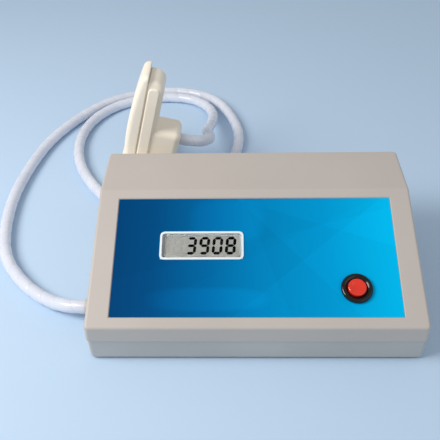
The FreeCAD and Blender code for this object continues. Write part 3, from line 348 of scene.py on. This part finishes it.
zinc = plated("zinc", screen(190, 192, 196))
case_low, case_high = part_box("case_screws")
case_head = 0.0028
case_head_height = 0.002
case_shank = 0.00145
head_seat = case_low[2] + case_head_height
case_screw = screw_shape("case_screw", case_head, case_head_height, case_shank, case_high[2] - head_seat)
case_spots = corner_spots("case_screws", case_head, head_seat)
case_screws = set_out("case_screw_set", case_screw, case_spots, (0, 0, 0), zinc)
add_piece("case_screw_set", case_screws, zinc, "host", "case_screws")

# Front label
# A sheet of printed film, cut with a window and a round hole and glued in its bed on the
# slope. The print runs from dark blue on the left to cyan on the right, in flat facets.

case_x = 0.0028
front_wall = -0.123
front_height = 0.030
ridge_height = 0.066
slope_run = 0.087
slope = math.atan2(ridge_height - front_height, slope_run)
panel = Matrix.Translation(Vector((case_x, front_wall, front_height))) @ Matrix.Rotation(slope, 4, "X")


def rounded_outline(left, right, low, high, corner, steps=6):
    """The corners of a rectangle with rounded corners, in turn."""
    points = []
    for x, y, start in ((right, high, 0), (left, high, 90), (left, low, 180), (right, low, 270)):
        centre = (x - corner if x == right else x + corner, y - corner if y == high else y + corner)
        points += arc(centre, corner, start, start + 90, steps)
    return points


def cut_sheet(name, outlines, thickness):
    """A flat sheet about its middle plane, from an outer outline and the outlines of its holes."""
    curve = bpy.data.curves.new(name, "CURVE")
    curve.dimensions = "2D"
    curve.fill_mode = "BOTH"
    curve.extrude = thickness / 2
    for points in outlines:
        spline = curve.splines.new("POLY")
        spline.points.add(len(points) - 1)
        for point, (x, y) in zip(spline.points, points):
            point.co = (x, y, 0.0, 1.0)
        spline.use_cyclic_u = True
    holder = put_in_scene(name, curve)
    mesh = final_mesh(holder)
    bpy.data.objects.remove(holder)
    for face in mesh.polygons:
        face.use_smooth = False
    return mesh


def lay_map(mesh, low, high):
    """A UV map across the panel: 0 to 1 from its lower left corner to its upper right one."""
    back = panel.inverted()
    layer = mesh.uv_layers.new(name="Panel")
    for loop in mesh.loops:
        point = back @ mesh.vertices[loop.vertex_index].co
        across = (point.x - low[0]) / (high[0] - low[0])
        up = (point.y - low[1]) / (high[1] - low[1])
        layer.data[loop.index].uv = (across, up)
    return mesh


def math_node(tree, operation, first, second=None, third=None):
    node = tree.nodes.new("ShaderNodeMath")
    node.operation = operation
    for socket, value in zip(node.inputs, (first, second, third)):
        if value is None:
            continue
        if isinstance(value, (int, float)):
            socket.default_value = value
        else:
            tree.links.new(value, socket)
    return node.outputs[0]


def mix_colour(tree, factor, first, second, mode="MIX"):
    node = tree.nodes.new("ShaderNodeMix")
    node.data_type = "RGBA"
    node.blend_type = mode
    for socket, value in ((node.inputs[0], factor), (node.inputs[6], first), (node.inputs[7], second)):
        if isinstance(value, (int, float, tuple)):
            socket.default_value = value
        else:
            tree.links.new(value, socket)
    return node.outputs[2]


def label_print():
    material, tree, shader = new_material("label_print")
    link = tree.links.new
    where = tree.nodes.new("ShaderNodeUVMap")
    where.uv_map = "Panel"
    split = tree.nodes.new("ShaderNodeSeparateXYZ")
    link(where.outputs["UV"], split.inputs[0])
    across, up = split.outputs[0], split.outputs[1]
    ramp = tree.nodes.new("ShaderNodeValToRGB")
    stops = ramp.color_ramp.elements
    stops[0].position, stops[0].color = 0.0, screen(0, 66, 118)
    stops[1].position, stops[1].color = 1.0, screen(0, 182, 234)
    for position, colour in ((0.14, screen(0, 76, 130)), (0.34, screen(0, 104, 162)),
                             (0.52, screen(0, 130, 188)), (0.76, screen(0, 152, 210))):
        stop = stops.new(position)
        stop.color = colour
    link(across, ramp.inputs["Fac"])
    # flat facets: each straight line splits the print into a lighter and a darker side
    light = 1.0
    facet_lines = ((1.0, 0.42, 0.86, 0.06), (1.0, -0.55, 0.42, 0.065), (-0.62, 1.0, 0.30, -0.04),
                   (1.0, 0.16, 0.62, -0.05), (0.75, 1.0, 1.32, 0.06), (1.0, -0.9, 0.05, 0.03))
    for slant_x, slant_y, reach, step in facet_lines:
        side = math_node(tree, "MULTIPLY_ADD", across, slant_x, math_node(tree, "MULTIPLY", up, slant_y))
        light = math_node(tree, "MULTIPLY_ADD", math_node(tree, "GREATER_THAN", side, reach), step, light)
    # a soft brighter patch high on the print and a streak low down
    patch_gain = 0.18
    for spot_x, spot_y, wide, tall in ((0.40, 0.80, 0.13, 0.20), (0.33, 0.14, 0.20, 0.09)):
        off_x = math_node(tree, "DIVIDE", math_node(tree, "SUBTRACT", across, spot_x), wide)
        off_y = math_node(tree, "DIVIDE", math_node(tree, "SUBTRACT", up, spot_y), tall)
        far = math_node(tree, "ADD", math_node(tree, "POWER", math_node(tree, "ABSOLUTE", off_x), 3.0),
                        math_node(tree, "POWER", math_node(tree, "ABSOLUTE", off_y), 3.0))
        glow = tree.nodes.new("ShaderNodeMapRange")
        glow.interpolation_type = "SMOOTHSTEP"
        glow.inputs["From Min"].default_value = 1.6
        glow.inputs["From Max"].default_value = 0.3
        link(far, glow.inputs["Value"])
        light = math_node(tree, "MULTIPLY_ADD", glow.outputs["Result"], patch_gain, light)
    facets = tree.nodes.new("ShaderNodeCombineColor")
    for socket in facets.inputs[:3]:
        link(light, socket)
    colour = mix_colour(tree, 1.0, ramp.outputs["Color"], facets.outputs[0], "MULTIPLY")
    link(colour, shader.inputs["Base Color"])
    speck = place_on(tree, 2500.0, 2.0)
    relief(tree, shader, speck.outputs["Fac"], 0.05, 0.0001)
    shader.inputs["Roughness"].default_value = 0.4
    shader.inputs["Specular IOR Level"].default_value = 0.03
    return material


label_half_width = 0.08660
label_low_edge = 0.00715
label_high_edge = 0.08735
label_middle = -0.0008
display_x = -0.03285
display_up = 0.05385
button_x = 0.0603
button_up = 0.0248
window_half_width = 0.0256
window_half_height = 0.0092
button_way = 0.0081
label_corner = 0.0009
window_corner = 0.0004
label_thick = 0.0004
round_hole_corners = 64
label_outlines = [
    rounded_outline(-label_half_width, label_half_width, label_low_edge, label_high_edge, label_corner),
    rounded_outline(display_x - window_half_width, display_x + window_half_width,
                    display_up - window_half_height, display_up + window_half_height, window_corner),
    arc((button_x, button_up), button_way, 0, 360 - 360 / round_hole_corners, round_hole_corners - 1)]
label = cut_sheet("label_sheet", label_outlines, label_thick)
label.transform(panel @ Matrix.Translation((0.0, 0.0, label_middle)))
lay_map(label, (-label_half_width, label_low_edge), (label_half_width, label_high_edge))
add_piece("label_sheet", label, label_print(), "host", "front_label")

# Display frame and window
# A thin white plastic frame pressed into the opening, with a clear pane behind its rim.

frame_white = moulded("frame_white", screen(234, 244, 248), roughness=0.35, grain=0.03, drift=0.01)
finish_node("display_frame", frame_white)


def clear_sheet():
    """Clear acrylic: a tint so light that it shows only in its reflections."""
    material, tree, shader = new_material("clear_sheet")
    shader.inputs["Base Color"].default_value = (1.0, 1.0, 1.0, 1.0)
    shader.inputs["Transmission Weight"].default_value = 1.0
    shader.inputs["IOR"].default_value = 1.1
    smear = place_on(tree, 60.0, 3.0)
    uneven_gloss(tree, shader, smear, 0.0, 0.04)
    return material


finish_node("display_window", clear_sheet())

# Display cell
# A reflective liquid crystal cell, warm grey, with six places of seven segments. Four show
# a number, and the segments that are off stay faintly visible.


def cell_grey():
    material, tree, shader = new_material("cell_grey")
    cloud = place_on(tree, 90.0, 2.0)
    paint(tree, shader, cloud, screen(174, 175, 169), screen(182, 183, 178))
    shader.inputs["Roughness"].default_value = 0.35
    return material


finish_node("display_glass", cell_grey())


def ink(name, colour):
    """Dark or faint segments in the cell, without gloss."""
    material, tree, shader = new_material(name)
    cloud = place_on(tree, 1200.0, 2.0)
    paint(tree, shader, cloud, shade(colour, 0.9), colour)
    shader.inputs["Roughness"].default_value = 0.4
    shader.inputs["Specular IOR Level"].default_value = 0.05
    return material


SEGMENTS = {"0": "abcdef", "3": "abgcd", "8": "abcdefg", "9": "abcdfg", " ": ""}
digit_width = 0.0066
digit_height = 0.0122
digit_step = 0.0082
stroke = 0.0019
slant = math.tan(math.radians(5))
digit_lift = 0.0009
cell_face = -0.00260
digit_thick = 0.00005
segment_gap = 0.00012


def segment_corners(which):
    """The pointed bar of one segment, in a digit whose lower left corner is the origin."""
    half = stroke / 2
    gap = segment_gap
    left, right = half, digit_width - half
    low, middle, high = half, digit_height / 2, digit_height - half
    ends = {"a": ((left, high), (right, high)), "g": ((left, middle), (right, middle)),
            "d": ((left, low), (right, low)), "f": ((left, middle), (left, high)),
            "b": ((right, middle), (right, high)), "e": ((left, low), (left, middle)),
            "c": ((right, low), (right, middle))}
    (x0, y0), (x1, y1) = ends[which]
    if y0 == y1:
        return [(x0 + gap, y0), (x0 + gap + half, y0 + half), (x1 - gap - half, y0 + half),
                (x1 - gap, y0), (x1 - gap - half, y0 - half), (x0 + gap + half, y0 - half)]
    return [(x0, y0 + gap), (x0 - half, y0 + gap + half), (x0 - half, y1 - gap - half),
            (x0, y1 - gap), (x0 + half, y1 - gap - half), (x0 + half, y0 + gap + half)]


def segment_mesh(name, wanted):
    """Segments as thin raised bars on the cell's face. Each pair gives a digit's place and its letters."""
    verts, faces = [], []
    for start, letters in wanted:
        for letter in letters:
            corners = segment_corners(letter)
            first = len(verts)
            for lift in (0.0, digit_thick):
                for x, y in corners:
                    spot = Vector((start + x + (y - digit_height / 2) * slant,
                                   display_up + digit_lift - digit_height / 2 + y, cell_face + lift))
                    verts.append(tuple(panel @ spot))
            count = len(corners)
            top = [first + count + k for k in range(count)]
            faces.append(tuple(reversed(top)))
            faces.append(tuple(first + k for k in range(count)))
            faces += [(first + k, first + count + k, first + count + (k + 1) % count, first + (k + 1) % count)
                      for k in range(count)]
    mesh = bpy.data.meshes.new(name)
    mesh.from_pydata(verts, [], faces)
    return mesh


shown_number = "  3908"
first_lit = display_x - 0.0099
first_place = first_lit - 2 * digit_step
lit = [(first_place + k * digit_step, SEGMENTS[figure]) for k, figure in enumerate(shown_number)]
unlit = [(start, "".join(letter for letter in "abcdefg" if letter not in letters)) for start, letters in lit]
dark = ink("segment_dark", screen(12, 12, 12))
add_piece("digits_lit", segment_mesh("digits_lit", lit), dark, "host")
faint = ink("segment_faint", screen(184, 185, 179))
add_piece("digits_unlit", segment_mesh("digits_unlit", unlit), faint, "host")

# Push button
# A bought panel button: a glossy black threaded housing with a round bezel, clamped by a
# hexagon nut under the lid, and a polished red cap that travels 2.5 mm.


def polished(name, colour, coat=0.6):
    """Polished plastic with a clear gloss and faint wipe marks."""
    material, tree, shader = new_material(name)
    cloud = place_on(tree, 120.0, 4.0)
    paint(tree, shader, cloud, shade(colour, 0.92), shade(colour, 1.04))
    uneven_gloss(tree, shader, cloud, 0.08, 0.18)
    shader.inputs["Coat Weight"].default_value = coat
    shader.inputs["Coat Roughness"].default_value = 0.04
    return material


button_place = panel @ Matrix.Translation((button_x, button_up, 0.0))
label_face = -0.0006
bezel_radius = 0.0095
bezel_round = 0.0015
bezel_top = label_face + 0.0025
barrel_radius = 0.008
barrel_low = -0.016
thread_pitch = 0.0009
thread_depth = 0.00035
well_radius = 0.00666
well_floor = label_face - 0.014
lip_radius = 0.00585
cap_top = label_face + 0.0033
cap_length = 0.009
skirt_height = 0.004
skirt_top = cap_top - cap_length + skirt_height
housing_profile = [(0.0, barrel_low), (barrel_radius - 0.0004, barrel_low)]
for turn in range(15):
    height = barrel_low + 0.0002 + turn * thread_pitch
    housing_profile += [(barrel_radius - thread_depth, height), (barrel_radius, height + thread_pitch / 2)]
housing_profile += [(barrel_radius, -0.0023), (barrel_radius, label_face),
                    (bezel_radius - 0.0003, label_face)]
housing_profile += arc((bezel_radius - bezel_round, bezel_top - bezel_round), bezel_round, 0, 105, 12)
housing_profile += [(lip_radius + 0.0002, bezel_top - 0.0009), (lip_radius, bezel_top - 0.0011),
                    (lip_radius, skirt_top), (well_radius, skirt_top),
                    (well_radius, well_floor), (0.0, well_floor)]
button_sides = 96
housing = turned_shape("button_body", housing_profile, button_sides)
housing.transform(button_place)
gloss_black = polished("gloss_black", screen(7, 7, 9), coat=0.0)
add_piece("button_body", smooth(housing, 40), gloss_black, "host", "button_housing")

cap_radius = 0.0055
cap_edge = 0.0008
skirt_radius = 0.0066
cap_low = cap_top - cap_length
cap_profile = [(0.0, cap_low), (skirt_radius, cap_low), (skirt_radius, skirt_top), (cap_radius, skirt_top)]
cap_profile += arc((cap_radius - cap_edge, cap_top - cap_edge), cap_edge, 0, 90, 8)
cap_profile += [(radius, cap_top - dish) for radius, dish in
                ((0.0040, 0.00005), (0.0030, 0.0003), (0.0015, 0.00045), (0.0, 0.0005))]
cap = turned_shape("button_top", cap_profile, button_sides)
cap.transform(button_place)
red = polished("red_cap", screen(228, 44, 14))
add_piece("button_top", smooth(cap, 40), red, "button", "button_cap")
finish_node("button_nut", moulded("nut_black", screen(30, 30, 33), roughness=0.5))
tin = plated("tin", screen(214, 206, 188), 0.35)
finish_node("button_terminals", tin)

# Wires
# Stranded copper in soft coloured sleeves: red from the button and the battery,
# black from the power inlet.


def sleeve(name, colour):
    return moulded(name, colour, roughness=0.45, grain=0.05)


finish_node("button_leads", sleeve("sleeve_red", screen(170, 34, 28)))
finish_node("battery_leads", sleeve("sleeve_crimson", screen(178, 30, 36)))
finish_node("jack_leads", sleeve("sleeve_black", screen(34, 34, 36)))

# Display board and main board
# Glass-fibre boards under green solder mask, with tracks that show through it and tinned pads.


def circuit(name):
    material, tree, shader = new_material(name)
    link = tree.links.new
    where = tree.nodes.new("ShaderNodeTexCoord")
    cells = tree.nodes.new("ShaderNodeTexVoronoi")
    cells.distance = "CHEBYCHEV"
    cells.inputs["Scale"].default_value = 260.0
    link(where.outputs["Object"], cells.inputs["Vector"])
    tracks = math_node(tree, "GREATER_THAN", cells.outputs["Distance"], 0.42)
    pads = math_node(tree, "LESS_THAN", cells.outputs["Distance"], 0.10)
    mask = mix_colour(tree, tracks, screen(20, 92, 52), screen(34, 122, 70))
    colour = mix_colour(tree, pads, mask, screen(198, 196, 186))
    link(colour, shader.inputs["Base Color"])
    link(pads, shader.inputs["Metallic"])
    relief(tree, shader, tracks, 0.2, 0.0001)
    shader.inputs["Roughness"].default_value = 0.35
    return material


board_green = circuit("board_green")
finish_node("display_board", board_green)
finish_node("main_board", board_green)

# Small screws
# Pan-head screws with a cross recess hold the display board, the main board and the
# two half shells of the handset.

small_head = 0.0023
small_head_height = 0.0015
small_shank = 0.0012
small_pitch = 0.0009


def small_screw(name, length):
    return screw_shape(name, small_head, small_head_height, small_shank, length, small_pitch)


board_low, board_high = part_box("board_screws")
board_seat = board_high[2] - small_head_height
board_screw = small_screw("board_screw", board_seat - board_low[2])
board_spots = corner_spots("board_screws", small_head, board_seat)
board_screws = set_out("board_screw_set", board_screw, board_spots, (math.pi, 0, 0), zinc)
add_piece("board_screw_set", board_screws, zinc, "host", "board_screws")

lid_wall = 0.0025
cell_thick = 0.0028
board_thick = 0.0016
stack_gap = 0.0001
display_seat = -(lid_wall + stack_gap + cell_thick + stack_gap + board_thick)
display_hole_side = 0.035
display_hole_up = 0.013
display_screw = small_screw("display_screw", 0.0042)
display_spots = [panel @ Vector((display_x + x, display_up + up, display_seat))
                 for x in (-display_hole_side, display_hole_side)
                 for up in (-display_hole_up, display_hole_up)]
display_screws = set_out("display_screw_set", display_screw, display_spots, (slope, 0, 0), zinc)
add_piece("display_screw_set", display_screws, zinc, "host", "display_screws")

# Chips and connectors
# Moulded black packages with rows of tinned legs, soldered to the main board.

chip_black = moulded("chip_black", screen(30, 30, 32), roughness=0.5, grain=0.2)
finish_node("board_chips", chip_black)
board_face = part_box("main_board")[1][2]
leg_shape = bpy.data.meshes.new("leg")
leg_profile = [(0.0, 0.0009), (0.0004, 0.0009), (0.0006, 0.0002), (0.0011, 0.0001),
               (0.0011, 0.00002), (0.0005, 0.00002), (0.0003, 0.0007), (0.0, 0.0007)]
leg_half = 0.0002
leg_verts = [(x, side * leg_half, z) for side in (-1, 1) for x, z in leg_profile]
corners = len(leg_profile)
leg_faces = [tuple(range(corners)), tuple(reversed(range(corners, 2 * corners)))]
leg_faces += [(k, corners + k, corners + (k + 1) % corners, (k + 1) % corners) for k in range(corners)]
leg_shape.from_pydata(leg_verts, [], leg_faces)
controller_side = case_x - 0.008
first_leg = front_wall + 0.075 + 0.0013
leg_pitch = 0.00127
leg_spots = [(controller_side, first_leg + leg_pitch * k, board_face) for k in range(10)]
legs = set_out("chip_legs", leg_shape, leg_spots, (0, 0, 0), tin)
add_piece("chip_legs", legs, tin, "host")

# Flow sensor, its tubes and the ribbon cable
# A pale moulded sensor with two nipples, soft silicone tubes and a grey flat cable.

finish_node("pressure_sensor", moulded("sensor_grey", screen(204, 203, 198), roughness=0.5))


def silicone(name, colour):
    material, tree, shader = new_material(name)
    cloud = place_on(tree, 70.0, 3.0)
    paint(tree, shader, cloud, shade(colour, 0.93), shade(colour, 1.05))
    shader.inputs["Roughness"].default_value = 0.38
    shader.inputs["Subsurface Weight"].default_value = 0.4
    shader.inputs["Subsurface Radius"].default_value = (0.002, 0.0018, 0.0016)
    shader.inputs["Subsurface Scale"].default_value = 1.0
    return material


soft_tube = silicone("soft_tube", screen(222, 224, 220))
finish_node("sensor_tubes", soft_tube)
finish_node("tap_tubes", soft_tube)


def flat_cable():
    material, tree, shader = new_material("flat_cable")
    where = tree.nodes.new("ShaderNodeTexCoord")
    waves = tree.nodes.new("ShaderNodeTexWave")
    waves.bands_direction = "X"
    waves.inputs["Scale"].default_value = 250.0
    tree.links.new(where.outputs["Object"], waves.inputs["Vector"])
    # The valleys between the wires are painted darker: painted shade.
    tint = blend_colours(tree, waves.outputs["Fac"], screen(120, 122, 128), screen(172, 174, 180), 0.1, 0.5)
    tree.links.new(tint.outputs["Color"], shader.inputs["Base Color"])
    relief(tree, shader, waves.outputs["Fac"], 0.4, 0.0003)
    shader.inputs["Roughness"].default_value = 0.5
    return material


finish_node("ribbon_cable", flat_cable())

# Battery
# A shrink-wrapped pack on a foam pad, between ribs of the tray.

finish_node("battery_pack", moulded("battery_wrap", screen(38, 78, 148), roughness=0.3, grain=0.05))
finish_node("battery_pad", moulded("foam", screen(52, 52, 56), roughness=0.9, grain_size=0.0012, grain=0.8))

# Power inlet
# A round black panel jack in the rear wall, held inside by a nickel-plated ring nut.

finish_node("power_jack", moulded("jack_black", screen(32, 32, 34), roughness=0.4))
finish_node("jack_nut", plated("nickel", screen(196, 192, 182), 0.28))

# Hose port
# A grey moulded fitting in the left wall of the tray, with a ring that locks it inside.

port_grey = moulded("port_grey", screen(196, 190, 182), roughness=0.45)
finish_node("hose_port", port_grey)
finish_node("port_lock_ring", port_grey)

# Handset
# Two half shells in cream ABS with soft moulded edges, which meet in a seam down the front.

cream = moulded("cream", screen(255, 244, 226), roughness=0.45, grain=0.04, drift=0.01)
finish_node("handset_left_shell", cream)
finish_node("handset_right_shell", cream)
finish_node("end_rings", cream)
lean = math.radians(14.5)
grip_root = Vector((-0.0923, 0.064, 0.018225))
grip_place = Matrix.Translation(grip_root) @ Matrix.Rotation(lean, 4, "Y")
grip_left = 0.0098
head_sunk = 0.0024
head_plane = -grip_left + head_sunk + small_head_height
handset_screw = small_screw("handset_screw", 0.0135)
handset_spots = [grip_place @ Vector((head_plane, 0.0, up)) for up in (0.066, 0.050)]
handset_screws = set_out("handset_screw_set", handset_screw, handset_spots, (0, math.pi / 2 + lean, 0), zinc)
add_piece("handset_screw_set", handset_screws, zinc, "handset", "handset_screws")

# Flow tube, grille and mouthpiece
# A white moulded tube with a throat, a perforated grille in its outlet, and a smooth
# push-in mouthpiece with a black sealing ring.

flow_white = moulded("flow_white", screen(226, 224, 218), roughness=0.45, grain=0.06, drift=0.02)
finish_node("flow_tube", flow_white)
finish_node("outlet_grille", flow_white)
mouth_white = moulded("mouth_white", screen(236, 236, 232), roughness=0.3, grain=0.03, drift=0.015)
finish_node("mouthpiece", mouth_white)
finish_node("mouthpiece_seal", rubber)
finish_node("handset_gland", port_grey)

# Hose
# A milky soft hose in a spiral wrap: a flat band is wound round it, and its turns leave a
# narrow groove that climbs the hose. It runs from the port in the case to the handset.

hose_diameter = 0.009
wrap_pitch = 0.0130
groove_share = 0.13
groove_depth = 0.00014
band_swell = 0.00016
hose_sides = 28
hose_step = 0.0009
route = [
    (-105.5, -87, 10), (-116, -87, 10), (-135, -76, 4.5), (-156, -59, 4.5), (-175, -33, 4.5),
    (-184, 2, 4.5), (-187.5, 42, 4.5), (-184, 84, 4.5), (-176, 124, 4.5),
    (-158, 162, 4.5), (-133, 195, 4.5), (-98, 211, 4.5), (-60, 214, 4.5),
    (-28, 197, 4.5), (-11, 160, 4.5), (-4, 121, 4.5), (-14, 80, 4.5),
    (-35, 45, 4.5), (-65, 20, 4.5), (-100, 21, 4.5), (-127, 54, 4.5),
    (-143, 85, 4.5), (-150, 120, 4.5), (-145, 157, 4.5), (-124, 187, 4.5),
    (-90, 202, 4.5), (-54, 199, 4.5), (-37, 184.5, 4.5), (-30, 164.5, 7),
    (-29.5, 142.5, 12.5), (-31.8, 119.5, 19), (-33.5, 98, 27.5), (-28, 77, 34),
    (-39.99, 64, 38.78), (-53.54, 64, 42.29)]


def spline_points(points, name):
    """Points along the smooth line that these points control, close together."""
    curve = bpy.data.curves.new(name, "CURVE")
    curve.dimensions = "3D"
    curve.resolution_u = 24
    spline = curve.splines.new("NURBS")
    spline.points.add(len(points) - 1)
    for point, (x, y, z) in zip(spline.points, points):
        point.co = (x / 1000, y / 1000, z / 1000, 1.0)
    spline.order_u = 3
    spline.use_endpoint_u = True
    holder = put_in_scene(name, curve)
    line = final_mesh(holder)
    found = np.array([vertex.co for vertex in line.vertices])
    bpy.data.objects.remove(holder)
    bpy.data.meshes.remove(line)
    return found


def evenly(points, step):
    """The same line at an even step."""
    runs = np.linalg.norm(np.diff(points, axis=0), axis=1)
    along = np.concatenate([[0.0], np.cumsum(runs)])
    count = int(round(along[-1] / step)) + 1
    places = np.linspace(0.0, along[-1], count)
    return np.stack([np.interp(places, along, points[:, k]) for k in range(3)], axis=1), places


def wrapped_hose(points, places):
    """The hose's skin: rings carried along the line without twist, sunk where the groove passes."""
    sides = hose_sides
    ways = np.gradient(points, axis=0)
    ways /= np.linalg.norm(ways, axis=1)[:, None]
    normal = np.cross(ways[0], (0.0, 0.0, 1.0))
    normal /= np.linalg.norm(normal)
    verts = []
    angles = np.arange(sides) / sides
    for k, (point, way) in enumerate(zip(points, ways)):
        normal = normal - way * normal.dot(way)
        normal /= np.linalg.norm(normal)
        other = np.cross(way, normal)
        phase = (places[k] / wrap_pitch - angles) % 1.0
        edge = np.minimum(phase, 1.0 - phase) / (groove_share / 2)
        sink = groove_depth * np.clip(1.6 - edge, 0.0, 1.0)
        swell = band_swell * np.sin(math.pi * phase)
        radius = hose_diameter / 2 - band_swell - sink + swell
        turn = 2 * math.pi * angles
        ring = point + radius[:, None] * (np.cos(turn)[:, None] * normal + np.sin(turn)[:, None] * other)
        verts.extend(map(tuple, ring))
    count = len(points)
    faces = []
    for k in range(count - 1):
        for s in range(sides):
            after = (s + 1) % sides
            faces.append((k * sides + s, k * sides + after, (k + 1) * sides + after, (k + 1) * sides + s))
    faces.append(tuple(reversed(range(sides))))
    faces.append(tuple(range((count - 1) * sides, count * sides)))
    mesh = bpy.data.meshes.new("wrapped_hose")
    mesh.from_pydata(verts, [], faces)
    layer = mesh.uv_layers.new(name="Wrap")
    for face in mesh.polygons[:-2]:
        k, s = divmod(face.index, sides)
        corners = ((k, s), (k, s + 1), (k + 1, s + 1), (k + 1, s))
        for loop, (row, side) in zip(face.loop_indices, corners):
            layer.data[loop].uv = (places[row] / wrap_pitch, side / sides)
    return mesh


def milky_wrap():
    material, tree, shader = new_material("milky_wrap")
    link = tree.links.new
    where = tree.nodes.new("ShaderNodeUVMap")
    where.uv_map = "Wrap"
    split = tree.nodes.new("ShaderNodeSeparateXYZ")
    link(where.outputs["UV"], split.inputs[0])
    phase = math_node(tree, "FRACT", math_node(tree, "SUBTRACT", split.outputs[0], split.outputs[1]))
    from_edge = math_node(tree, "MINIMUM", phase, math_node(tree, "SUBTRACT", 1.0, phase))
    # Painted shade darkens the groove, and a painted highlight brightens its lips.
    inside = math_node(tree, "LESS_THAN", from_edge, groove_share * 0.42)
    lip = math_node(tree, "SUBTRACT", math_node(tree, "LESS_THAN", from_edge, groove_share * 0.62), inside)
    cloud = place_on(tree, 35.0, 3.0)
    milk = blend_colours(tree, cloud.outputs["Fac"], screen(218, 222, 234), screen(226, 230, 240))
    groove_shade = math_node(tree, "MULTIPLY", inside, 0.25)
    lip_highlight = math_node(tree, "MULTIPLY", lip, 0.35)
    colour = mix_colour(tree, groove_shade, milk.outputs["Color"], screen(200, 204, 222))
    colour = mix_colour(tree, lip_highlight, colour, screen(244, 246, 250))
    link(colour, shader.inputs["Base Color"])
    shader.inputs["Roughness"].default_value = 0.2
    shader.inputs["Subsurface Weight"].default_value = 0.5
    shader.inputs["Subsurface Radius"].default_value = (0.003, 0.003, 0.0034)
    shader.inputs["Subsurface Scale"].default_value = 1.0
    return material


hose_line, hose_places = evenly(spline_points(route, "hose_route"), hose_step)
hose_mesh = smooth(wrapped_hose(hose_line, hose_places), 60)
hose_mesh.materials.append(milky_wrap())
hose = put_in_scene("wrapped_hose", hose_mesh)
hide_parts("hose")
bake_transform(hose)

# Table, light and camera
# A plain pale table under soft studio light from the upper left, seen from the front and above.


def table_top():
    material, _, shader = new_material("table_top")
    shader.inputs["Base Color"].default_value = screen(192, 216, 240)
    shader.inputs["Roughness"].default_value = 0.8
    return material


table_mesh = bpy.data.meshes.new("table")
table_mesh.from_pydata([(-4, -4, 0), (4, -4, 0), (4, 4, 0), (-4, 4, 0)], [], [(0, 1, 2, 3)])
table_mesh.materials.append(table_top())
put_in_scene("table", table_mesh)


def soft_lamp(name, spot, size, power, colour):
    """A square lamp that looks at the middle of the case."""
    lamp = bpy.data.lights.new(name, "AREA")
    lamp.shape = "SQUARE"
    lamp.size = size
    lamp.energy = power
    lamp.color = colour
    way = Vector((0.0, 0.0, 0.03)) - Vector(spot)
    turn = way.to_track_quat("-Z", "Y").to_matrix().to_4x4()
    put_in_scene(name, lamp).matrix_world = Matrix.Translation(spot) @ turn


soft_lamp("key", (-0.62, -0.26, 0.66), 0.45, 6.0, (1.0, 0.97, 0.93))
soft_lamp("fill", (0.9, -0.7, 1.0), 1.2, 2.0, (0.95, 0.98, 1.0))
world = bpy.data.worlds.new("studio")
bpy.context.scene.world = world
world.use_nodes = True
sky = world.node_tree.nodes["Background"]
sky.inputs["Color"].default_value = (0.95, 0.97, 1.0, 1.0)
sky.inputs["Strength"].default_value = 0.45

camera_spot = Vector((-0.00812, -0.37659, 0.31772))
camera_turn = -0.0333
camera_dip = 0.6831
camera_roll = -0.0255
focal_pixels = 652.51
picture_width = 440
camera_data = bpy.data.cameras.new("camera")
camera_data.sensor_width = 36.0
camera_data.lens = camera_data.sensor_width * focal_pixels / picture_width
camera_data.clip_start = 0.01
camera = put_in_scene("camera", camera_data)
level = math.cos(camera_dip)
ahead = Vector((math.sin(camera_turn) * level, math.cos(camera_turn) * level, -math.sin(camera_dip)))
right = Vector((math.cos(camera_turn), -math.sin(camera_turn), 0.0))
upward = right.cross(ahead)
right_rolled = math.cos(camera_roll) * right + math.sin(camera_roll) * upward
up_rolled = -math.sin(camera_roll) * right + math.cos(camera_roll) * upward
axes = Matrix((right_rolled, up_rolled, -ahead)).transposed()
camera.matrix_world = Matrix.Translation(camera_spot) @ axes.to_4x4()
bpy.context.scene.camera = camera
bpy.context.scene.view_settings.view_transform = "Standard"
